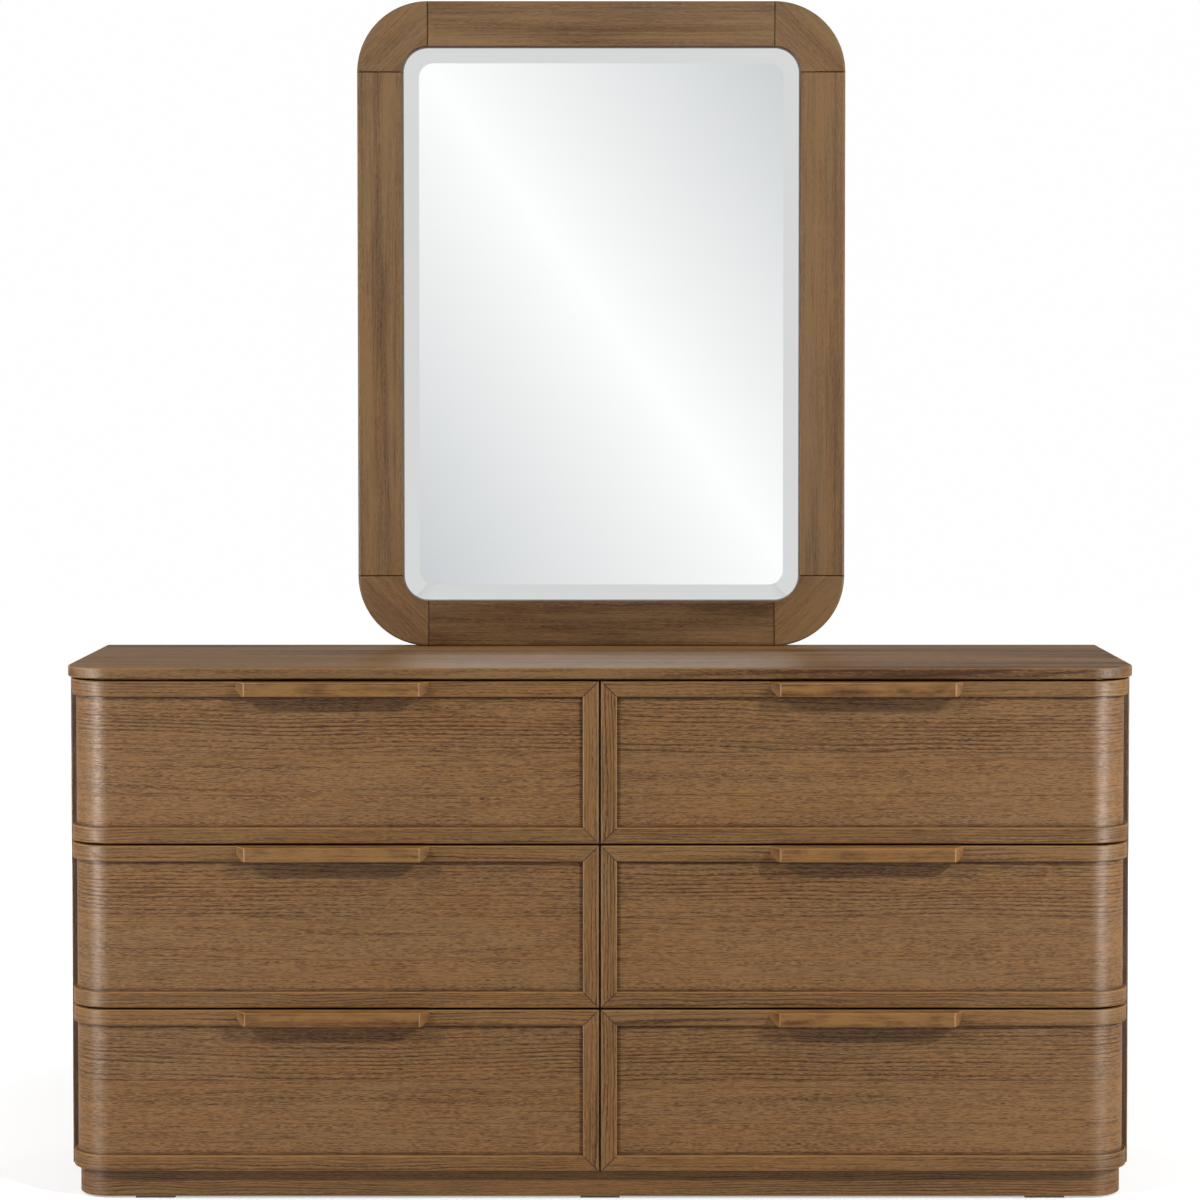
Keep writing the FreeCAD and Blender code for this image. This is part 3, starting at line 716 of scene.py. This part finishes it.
def make_border(place, sign, z0):
    builder = Builder()
    front = FRONT_EDGE + FRONT_INSET
    side = HALF_TOP - FRONT_INSET
    path = corner_path(front, side, TOP_RADIUS - FRONT_INSET, HALF_GAP, RETURN_END)
    z1 = z0 + FRONT_HEIGHT

    # The two rails start at a mitre and run round the corner
    for low, outer in ((z0, z0), (z1 - BORDER_WIDTH, z1)):
        shift, tone = next_board()
        profile = rounded_loop(box_corners(low, low + BORDER_WIDTH, 0.0, BORDER_RELIEF, BORDER_ROUNDS))
        stations = []
        for run, at_joint in ((0.0, True), (MITRE_RUN, False)):
            station = []
            for height, depth, edge in profile:
                x = HALF_GAP + abs(height - outer) + run
                y = front + grooved(depth, MITRE_GROOVE, at_joint)
                grain = (x + shift, height - low, depth)
                station.append(((sign * x, y, height), grain, edge, JOINT_SHADE * at_joint))
            stations.append(station)
        stations += wrap_stations(path[1:], profile, sign, shift, low)
        builder.sweep(stations, tone)

    # The stile is mitred at both ends
    shift, tone = next_board()
    profile = rounded_loop(box_corners(HALF_GAP, HALF_GAP + BORDER_WIDTH, 0.0, BORDER_RELIEF, BORDER_ROUNDS))
    stations = []
    for end, direction, run, at_joint in (
            (z0, 1, 0.0, True), (z0, 1, MITRE_RUN, False), (z1, -1, MITRE_RUN, False), (z1, -1, 0.0, True)):
        station = []
        for x, depth, edge in profile:
            z = end + direction * (x - HALF_GAP + run)
            y = front + grooved(depth, MITRE_GROOVE, at_joint)
            station.append(((sign * x, y, z), (z + shift, x - HALF_GAP, depth), edge, JOINT_SHADE * at_joint))
        stations.append(station)
    builder.sweep(stations, tone)
    builder.finish(f"wood_{place}_drawer_border", rail_oak, f"{place}_drawer",
                   [f"{place}_drawer_border"])


def make_handle(place, sign, z0):
    shift, tone = next_board()
    builder = Builder()
    back = FRONT_EDGE + FRONT_INSET
    top = z0 + FRONT_HEIGHT - HANDLE_DROP
    bottom = top - HANDLE_HEIGHT
    half_front = HANDLE_HALF - HANDLE_SLANT
    ends = []
    for step in range(ROUND_STEPS + 1):
        angle = math.pi / 2 * step / ROUND_STEPS
        edge = 0.0 if step in (0, ROUND_STEPS) else 1.0
        ends.append((HANDLE_ROUND * (1 - math.sin(angle)), HANDLE_ROUND * (1 - math.cos(angle)), edge))
    ends = [(-1, *end) for end in ends] + [(1, *end) for end in reversed(ends)]
    stations = []
    for side, inset, pull, end_edge in ends:
        corners = [
            (bottom + inset, inset, HANDLE_ROUND),
            (top - inset, inset, HANDLE_ROUND),
            (top - inset, HANDLE_REACH, HANDLE_BACK_ROUND),
            (bottom + HANDLE_GRIP[1], HANDLE_REACH, HANDLE_BACK_ROUND),
            (bottom + inset, HANDLE_REACH - HANDLE_GRIP[0], HANDLE_GRIP_ROUND),
        ]
        station = []
        for height, depth, edge in rounded_loop(corners):
            x = side * (half_front + HANDLE_SLANT * depth / HANDLE_REACH - pull)
            y = back - HANDLE_REACH + depth
            station.append(((sign * HANDLE_MIDDLE + x, y, height), (x + shift, height - bottom, depth),
                            max(edge, end_edge), END_SHADE * (inset == HANDLE_ROUND)))
        stations.append(station)
    builder.sweep(stations, tone)
    builder.finish(f"wood_{place}_drawer_handle", handle_oak, f"{place}_drawer",
                   [f"{place}_drawer_handle"])


# Drawer boxes: sides dovetailed into a front, with a back and a bottom between them

def run_board(builder, outline, ends, sign, low, fibre):
    """Runs an outline of depth and height between two places across. fibre is the axis of the grain."""
    shift, tone = next_board()
    stations = []
    for x in ends:
        station = []
        for y, z in outline:
            through = sign * x if fibre == "y" else y
            along = y if fibre == "y" else x
            station.append(((sign * x, y, z), (along + shift, z - low, through), 0.0))
        stations.append(station)
    builder.sweep(stations, tone)


def make_box(place, sign, z0):
    builder = Builder()
    low = z0 + BOX_RISE
    high = low + BOX_HEIGHT
    front, back = BOX_Y
    inner_front = front + BOX_BOARD
    back_outer = back - BOX_BACK_SETBACK
    back_inner = back_outer - BOX_BOARD
    bottom, floor = (low + rise for rise in BOX_BOTTOM)
    pitch = BOX_HEIGHT / DOVETAILS
    narrow = pitch * PIN_NARROW_SHARE
    wide = pitch * PIN_WIDE_SHARE
    pins = []
    for index in reversed(range(DOVETAILS + 1)):
        z = low + pitch * index
        pins.append([(front, min(z + narrow, high)), (inner_front, min(z + wide, high)),
                     (inner_front, max(z - wide, low)), (front, max(z - narrow, low))])
    notches = [point for pin in pins for point in pin]
    side = [(back, low), (back, high)] + notches[1:-1]
    inner = (BOX_X[0] + BOX_BOARD, BOX_X[1] - BOX_BOARD)
    for ends in ((BOX_X[0], inner[0]), (inner[1], BOX_X[1])):
        run_board(builder, side, ends, sign, low, "y")
        for pin in pins:
            run_board(builder, pin, ends, sign, low, "x")
    for y0, y1, lower, upper in ((front, inner_front, low, high), (back_inner, back_outer, floor, high),
                                 (inner_front, back_outer, bottom, floor)):
        run_board(builder, [(y0, lower), (y0, upper), (y1, upper), (y1, lower)], inner, sign, low, "x")
    builder.finish(f"wood_{place}_drawer_box", box_oak, f"{place}_drawer",
                   [f"{place}_drawer_box"], ease=BOX_EASE)


# Mirror frame: straight members and quarter-round corner blocks of one section

def frame_profile():
    """Points as (width, depth, whether on a rounding, painted shade on the lip and inner rounding)."""
    corners = [
        (0.0, 0.0, MEMBER_INNER_ROUND),
        (MEMBER_WIDTH, 0.0, MEMBER_OUTER_ROUND),
        (MEMBER_WIDTH, MEMBER_DEPTH, MEMBER_BACK_ROUND),
        (LIP[0], MEMBER_DEPTH, LIP_ROUND),
        (LIP[0], LIP[1], 0.0),
        (0.0, LIP[1], LIP_ROUND),
    ]
    points = []
    for width, depth, edge in rounded_loop(corners):
        # The lip and the inner rounding are darkened: painted shade where the frame meets the glass
        in_lip = width <= LIP[0] and LIP_PAINTED_SHADE_START < depth <= LIP[1]
        points.append((width, depth, edge, LIP_PAINTED_SHADE * in_lip))
    return points


def make_member(builder, half_length, turn, opening, darker=0.0):
    """A straight member. turn is the direction outwards from the opening, in quarter turns from the right."""
    shift, tone = next_board()
    outward = Vector((round(math.cos(turn * math.pi / 2)), round(math.sin(turn * math.pi / 2))))
    along = Vector((-outward.y, outward.x))
    stations = []
    for run, at_joint in ((-half_length, True), (-half_length + JOINT_GROOVE, False),
                          (half_length - JOINT_GROOVE, False), (half_length, True)):
        station = []
        for width, depth, edge, shade in frame_profile():
            place = outward * (opening + width) + along * run
            y = MIRROR_FRONT + grooved(depth, JOINT_GROOVE, at_joint)
            station.append(((place.x, y, MIRROR_MIDDLE + place.y), (run + shift, width, depth), edge,
                            shade + JOINT_SHADE * at_joint))
        stations.append(station)
    builder.sweep(stations, tone + darker)


def make_corner(builder, turn):
    """A corner block, its straight grain laid across the corner."""
    shift, tone = next_board()
    x_sign, z_sign = ((1, 1), (-1, 1), (-1, -1), (1, -1))[turn]
    centre = Vector((x_sign * (MIRROR_HALF[0] - MIRROR_RADIUS), z_sign * (MIRROR_HALF[1] - MIRROR_RADIUS)))
    inner = MIRROR_RADIUS - MEMBER_WIDTH
    joint_angle = JOINT_GROOVE / (inner + MEMBER_WIDTH / 2)
    angles = [(0.0, True), (joint_angle, False)]
    angles += [(math.pi / 2 * step / ARC_STEPS, False) for step in range(1, ARC_STEPS)]
    angles += [(math.pi / 2 - joint_angle, False), (math.pi / 2, True)]
    middle = math.pi / 2 * turn + math.pi / 4
    across = Vector((math.cos(middle), math.sin(middle)))
    fibre = Vector((-across.y, across.x))
    stations = []
    for angle, at_joint in angles:
        whole_angle = angle + math.pi / 2 * turn
        outward = Vector((math.cos(whole_angle), math.sin(whole_angle)))
        station = []
        for width, depth, edge, shade in frame_profile():
            offset = outward * (inner + width)
            place = centre + offset
            grain = (offset.dot(fibre) + shift, offset.dot(across), depth)
            y = MIRROR_FRONT + grooved(depth, JOINT_GROOVE, at_joint)
            station.append(((place.x, y, MIRROR_MIDDLE + place.y), grain, edge,
                            shade + JOINT_SHADE * at_joint))
        stations.append(station)
    builder.sweep(stations, tone)


def make_mirror_frame():
    opening_x = MIRROR_HALF[0] - MEMBER_WIDTH
    opening_z = MIRROR_HALF[1] - MEMBER_WIDTH
    half_rail = MIRROR_HALF[0] - MIRROR_RADIUS
    half_stile = MIRROR_HALF[1] - MIRROR_RADIUS
    for name, turn, darker in (("mirror_top_rail", 1, 0.0), ("mirror_bottom_rail", 3, BOTTOM_RAIL_SHADE)):
        builder = Builder()
        make_member(builder, half_rail, turn, opening_z, darker)
        builder.finish(f"wood_{name}", frame_oak, "case", [name])
    builder = Builder()
    for turn in (0, 2):
        make_member(builder, half_stile, turn, opening_x)
    builder.finish("wood_mirror_stiles", frame_oak, "case", ["mirror_stiles"])
    builder = Builder()
    for turn in range(4):
        make_corner(builder, turn)
    builder.finish("wood_mirror_corner_blocks", frame_oak, "case", ["mirror_corner_blocks"])


make_top()
make_sides()
make_plinth()
for place, sign, z0 in PLACES:
    make_front(place, sign, z0)
    make_border(place, sign, z0)
    make_handle(place, sign, z0)
    make_box(place, sign, z0)
make_mirror_frame()


# Mirror glass: a silvered pane with a bevel all round, and a trace of haze

HAZE_SCALE = (9.0, 9.0, 9.0)
HAZE_RANGE = (0.3, 0.7)
SILVER_TINTS = ((0.93, 0.945, 0.94, 1.0), (0.95, 0.96, 0.955, 1.0))
SILVER_ROUGHNESS = (0.012, 0.022)


def mirror_material():
    material, tree, shader = new_material("silvered glass")
    haze = noise_node(tree, object_place(tree), HAZE_SCALE, 3.0)
    tree.links.new(mix_node(tree, haze, *SILVER_TINTS), shader.inputs["Base Color"])
    tree.links.new(range_node(tree, haze, *HAZE_RANGE, *SILVER_ROUGHNESS), shader.inputs["Roughness"])
    shader.inputs["Metallic"].default_value = 1.0
    return material


def glass_outline(half_x, half_z, radius):
    """Points of a rectangle with rounded corners."""
    points = []
    for turn, (x_sign, z_sign) in enumerate(((1, 1), (-1, 1), (-1, -1), (1, -1))):
        for step in range(ARC_STEPS + 1):
            angle = math.pi / 2 * (turn + step / ARC_STEPS)
            points.append((x_sign * (half_x - radius) + radius * math.cos(angle),
                           MIRROR_MIDDLE + z_sign * (half_z - radius) + radius * math.sin(angle)))
    return points


def make_glass():
    reach = MEMBER_WIDTH - GLASS_OVERLAP
    pane = (MIRROR_HALF[0] - reach, MIRROR_HALF[1] - reach, MIRROR_RADIUS - reach)
    inset = GLASS_OVERLAP + GLASS_BEVEL
    field = (pane[0] - inset, pane[1] - inset, FIELD_RADIUS)
    builder = Builder()
    stations = []
    for outline, thickness in ((pane, 0.0), (pane, GLASS_EDGE), (field, GLASS_THICKNESS)):
        y = GLASS_BACK - thickness
        stations.append([((x, y, z), (x, z, y), 0.0) for x, z in glass_outline(*outline)])
    builder.sweep(stations)
    return builder.finish("bevelled_mirror_glass", mirror_material(), "case", ["mirror_glass"],
                          sharp=GLASS_SHARP_ANGLE)


glass = make_glass()


# Other solids keep their own shape and take a material

BRUSH_SCALE = (900.0, 14.0, 900.0)
BRUSH_RANGE = (0.25, 0.75)
BRUSH_SPREAD = 0.07
BRUSH_BUMP = (0.12, 0.0002)
SPANGLE_SCALE = (60.0, 60.0, 60.0)
SPANGLE_SHADE = 0.82
SPECK_SCALE = (400.0, 400.0, 400.0)
SPECK_RANGE = (0.3, 0.7)
NYLON_TINTS = (colour(58, 55, 52), colour(78, 74, 70))
NYLON_ROUGHNESS = (0.5, 0.7)
SLIDE_TINT = (0.62, 0.63, 0.64, 1.0)
SLIDE_ROUGHNESS = 0.32
SCREW_TINT = (0.56, 0.55, 0.52, 1.0)
SCREW_ROUGHNESS = 0.35


def steel_material(name, tint, roughness):
    material, tree, shader = new_material(name)
    place = object_place(tree)
    brushed = noise_node(tree, place, BRUSH_SCALE, 3.0)
    spangle = noise_node(tree, place, SPANGLE_SCALE, 2.0)
    tree.links.new(mix_node(tree, spangle, tint, scaled(tint, SPANGLE_SHADE)), shader.inputs["Base Color"])
    rough = range_node(tree, brushed, *BRUSH_RANGE, roughness - BRUSH_SPREAD, roughness + BRUSH_SPREAD)
    tree.links.new(rough, shader.inputs["Roughness"])
    shader.inputs["Metallic"].default_value = 1.0
    add_relief(tree, shader, brushed, *BRUSH_BUMP)
    return material


def nylon_material():
    material, tree, shader = new_material("nylon")
    speck = noise_node(tree, object_place(tree), SPECK_SCALE, 2.0)
    tree.links.new(mix_node(tree, speck, *NYLON_TINTS), shader.inputs["Base Color"])
    tree.links.new(range_node(tree, speck, *SPECK_RANGE, *NYLON_ROUGHNESS), shader.inputs["Roughness"])
    return material


inner_x = inner_wood("inner wood along", "XYZ", (31.0, 0.0, 0.0))
inner_y = inner_wood("inner wood deep", "YZX", (57.0, 0.0, 0.0))
plywood = wood_material("back plywood", PLY_LIGHT, PLY_DARK, PLY_PORE, order="ZXY", shift=(11.0, 0.0, 0.0),
                        period=0.006, rings=0.4, weave=0.35, dashes=0.2, roughness=0.55, specular=0.25)
support_oak = wood_material("support oak", LIGHT, DARK, PORE, order="ZXY", shift=(23.0, 0.0, 0.0), rings=0.4)
slide_steel = steel_material("slide steel", SLIDE_TINT, SLIDE_ROUGHNESS)
screw_steel = steel_material("screw steel", SCREW_TINT, SCREW_ROUGHNESS)
nylon = nylon_material()

carried = {
    "back_panel": plywood,
    "bottom_panel": inner_x,
    "centre_partition": inner_y,
    "drawer_rails": inner_x,
    "back_rails": inner_x,
    "plinth_back": inner_x,
    "plinth_centre_bearer": inner_y,
    "floor_pads": nylon,
    "slide_battens": inner_y,
    "slide_cabinet_members": slide_steel,
    "mirror_backing_board": plywood,
    "mirror_retaining_beads": support_oak,
    "mirror_supports": support_oak,
    "mirror_support_screws": screw_steel,
}
for place, sign, z0 in PLACES:
    carried[f"{place}_drawer_slide_members"] = slide_steel
    carried[f"{place}_intermediate_slide_members"] = slide_steel
for name, material in carried.items():
    nodes[name].data.materials.clear()
    nodes[name].data.materials.append(material)


# Stage: a pale floor, white surroundings and a card behind the camera that only reflections see

FLOOR_RADIUS = 14.0
FLOOR_SIDES = 96
FLOOR_COLOUR = (0.64, 0.64, 0.64, 1.0)

# Where the floor's glow changes with the distance from the middle, and its strength on either side,
# as the camera sees it and as reflections do
SEEN_REACH = (0.9, 2.6)
SEEN_GLOW = (0.45, 0.92)
MIRRORED_REACH = (3.0, 5.0)
MIRRORED_GLOW = (0.0, 0.31)

# The card's bright slanting band fits what the mirror shows, and the card is plain beyond that
CARD_SIZE = (9.0, 6.0, 1.0)
CARD_MIDDLE = (0.0, -7.0, 1.471)
BAND_HALF = (0.752, 1.044)
BAND_REACH = 2.0
BAND_COLOUR = (1.05, 1.05, 1.05, 1.0)
OFF_BAND_COLOUR = (0.611, 0.626, 0.646, 1.0)
PLAIN_COLOUR = (0.72, 0.72, 0.72, 1.0)
PLAIN_ACROSS = (1.08, 1.4)
PLAIN_UP = (1.06, 1.3)

# The surroundings as light, and what is added where they are seen or gleam
WORLD_COLOUR = (1.0, 1.0, 1.0, 1.0)
WORLD_LIGHT = 0.095
WORLD_SEEN = 0.9
WORLD_GLEAM = 0.22


def light_path(tree, *kinds):
    """One where a ray is of any of the named kinds."""
    path = tree.nodes.new("ShaderNodeLightPath")
    total = 0.0
    for kind in kinds:
        total = math_node(tree, "ADD", path.outputs[kind], total, clamp=True)
    return total


def make_floor():
    bpy.ops.mesh.primitive_circle_add(vertices=FLOOR_SIDES, radius=FLOOR_RADIUS, fill_type="NGON")
    floor = bpy.context.object
    floor.name = "floor"
    material, tree, output = blank_material("pale floor")
    diffuse = tree.nodes.new("ShaderNodeBsdfDiffuse")
    diffuse.inputs["Color"].default_value = FLOOR_COLOUR
    glow = tree.nodes.new("ShaderNodeEmission")
    position = tree.nodes.new("ShaderNodeNewGeometry").outputs["Position"]
    reach = tree.nodes.new("ShaderNodeVectorMath")
    reach.operation = "LENGTH"
    tree.links.new(position, reach.inputs[0])
    seen_glow = range_node(tree, reach.outputs["Value"], *SEEN_REACH, *SEEN_GLOW)
    seen = light_path(tree, "Is Camera Ray", "Is Transmission Ray")
    mirrored_glow = range_node(tree, reach.outputs["Value"], *MIRRORED_REACH, *MIRRORED_GLOW)
    mirrored = math_node(tree, "MULTIPLY", light_path(tree, "Is Glossy Ray"), mirrored_glow)
    strength = math_node(tree, "MULTIPLY_ADD", seen, seen_glow, mirrored)
    tree.links.new(strength, glow.inputs["Strength"])
    total = tree.nodes.new("ShaderNodeAddShader")
    tree.links.new(diffuse.outputs[0], total.inputs[0])
    tree.links.new(glow.outputs[0], total.inputs[1])
    tree.links.new(total.outputs[0], output.inputs[0])
    floor.data.materials.append(material)


def make_card():
    bpy.ops.mesh.primitive_plane_add(size=1.0)
    card = bpy.context.object
    card.name = "reflection_card"
    card.scale = CARD_SIZE
    card.rotation_euler = (math.pi / 2, 0.0, 0.0)
    card.location = CARD_MIDDLE
    material, tree, output = blank_material("reflection card")
    spot = split_node(tree, tree.nodes.new("ShaderNodeNewGeometry").outputs["Position"])
    across = math_node(tree, "DIVIDE", spot["X"], BAND_HALF[0])
    above = math_node(tree, "SUBTRACT", spot["Z"], CARD_MIDDLE[2])
    up = math_node(tree, "DIVIDE", above, BAND_HALF[1])
    slant = math_node(tree, "ABSOLUTE", math_node(tree, "ADD", across, up))
    fall = math_node(tree, "DIVIDE", slant, BAND_REACH, clamp=True)
    pale = mix_node(tree, fall, BAND_COLOUR, OFF_BAND_COLOUR)
    far_x = range_node(tree, math_node(tree, "ABSOLUTE", across), *PLAIN_ACROSS)
    far_z = range_node(tree, math_node(tree, "ABSOLUTE", up), *PLAIN_UP)
    tint = mix_node(tree, math_node(tree, "MAXIMUM", far_x, far_z), pale, PLAIN_COLOUR)
    glow = tree.nodes.new("ShaderNodeEmission")
    tree.links.new(tint, glow.inputs["Color"])
    clear = tree.nodes.new("ShaderNodeBsdfTransparent")
    choice = tree.nodes.new("ShaderNodeMixShader")
    tree.links.new(light_path(tree, "Is Glossy Ray"), choice.inputs[0])
    tree.links.new(clear.outputs[0], choice.inputs[1])
    tree.links.new(glow.outputs[0], choice.inputs[2])
    tree.links.new(choice.outputs[0], output.inputs[0])
    card.data.materials.append(material)


def make_world():
    world = bpy.data.worlds.new("studio")
    scene.world = world
    world.use_nodes = True
    tree = world.node_tree
    tree.nodes.clear()
    output = tree.nodes.new("ShaderNodeOutputWorld")
    background = tree.nodes.new("ShaderNodeBackground")
    background.inputs["Color"].default_value = WORLD_COLOUR
    seen = math_node(tree, "MULTIPLY", light_path(tree, "Is Camera Ray", "Is Transmission Ray"), WORLD_SEEN)
    gleam = math_node(tree, "MULTIPLY", light_path(tree, "Is Glossy Ray"), WORLD_GLEAM)
    strength = math_node(tree, "ADD", math_node(tree, "ADD", seen, gleam), WORLD_LIGHT)
    tree.links.new(strength, background.inputs["Strength"])
    tree.links.new(background.outputs[0], output.inputs[0])


make_floor()
make_card()
make_world()


# Lamps as place, target and size in metres, on the right where there is one on each side

SOFTBOX = ((5.0, -4.65, 4.7), (0.0, -0.1, 0.6), (0.4, 0.4))
SOFTBOX_POWER = {"left": 225.0, "right": 295.0}
SIDE_STRIP = ((2.6, -0.55, 1.3), (0.75, -0.2, 0.5), (0.3, 1.2))
SIDE_STRIP_POWER = 31.0
STRIP = ((2.6, -1.98, 0.42), (0.75, -0.2, 0.42), (0.9, 0.76))
STRIP_POWER = 100.0
BACK_SOFTBOX = ((1.8, 3.4, 1.15), (0.0, 0.25, 0.85), (1.2, 1.0))
BACK_SOFTBOX_POWER = 42.0
MIRROR_SOFTBOX = ((0.0, -2.6, 2.9), (0.0, 0.2, 1.2), (2.4, 0.9))
MIRROR_SOFTBOX_POWER = 26.0


def make_lamp(name, layout, power, side=1, diffuse=True, glossy=True, receivers=None):
    """A lamp that faces its target. side is -1 for the left one of a pair."""
    place, target, size = layout
    place = Vector((side * place[0], place[1], place[2]))
    target = Vector((side * target[0], target[1], target[2]))
    lamp = bpy.data.lights.new(name, "AREA")
    lamp.shape = "RECTANGLE"
    lamp.size, lamp.size_y = size
    lamp.energy = power
    holder = bpy.data.objects.new(name, lamp)
    holder.location = place
    holder.visible_camera = False
    holder.visible_diffuse = diffuse
    holder.visible_glossy = glossy
    if receivers:
        holder.light_linking.receiver_collection = receivers
    holder.rotation_euler = (target - place).to_track_quat("-Z", "Y").to_euler()
    scene.collection.objects.link(holder)


# The strips for the highlights gleam on everything but the glass, so they don't show in the mirror
all_but_glass = bpy.data.collections.new("strip receivers")
all_but_glass.objects.link(glass)
all_but_glass.collection_objects[0].light_linking.link_state = "EXCLUDE"
for name, side in COLUMNS:
    make_lamp(f"{name}_softbox", SOFTBOX, SOFTBOX_POWER[name], side)
    make_lamp(f"{name}_side_strip", SIDE_STRIP, SIDE_STRIP_POWER, side)
    make_lamp(f"{name}_strip", STRIP, STRIP_POWER, side, diffuse=False, receivers=all_but_glass)
    make_lamp(f"{name}_back_softbox", BACK_SOFTBOX, BACK_SOFTBOX_POWER, side, glossy=False)
make_lamp("mirror_softbox", MIRROR_SOFTBOX, MIRROR_SOFTBOX_POWER, diffuse=False)


# Camera at the photograph's viewing angle, above the dresser's top and tilted a little down

CAMERA_SENSOR = 36.0
CAMERA_LENS = 100.62
CAMERA_SHIFT = (-0.0164, -0.08)
CAMERA_PLACE = (0.03, -5.28, 1.2359)
CAMERA_TILT = 0.03492

camera = bpy.data.cameras.new("camera")
camera.sensor_width = CAMERA_SENSOR
camera.lens = CAMERA_LENS
camera.shift_x, camera.shift_y = CAMERA_SHIFT
viewpoint = bpy.data.objects.new("camera", camera)
viewpoint.location = CAMERA_PLACE
viewpoint.rotation_euler = (math.pi / 2 - CAMERA_TILT, 0.0, 0.0)
scene.collection.objects.link(viewpoint)
scene.camera = viewpoint
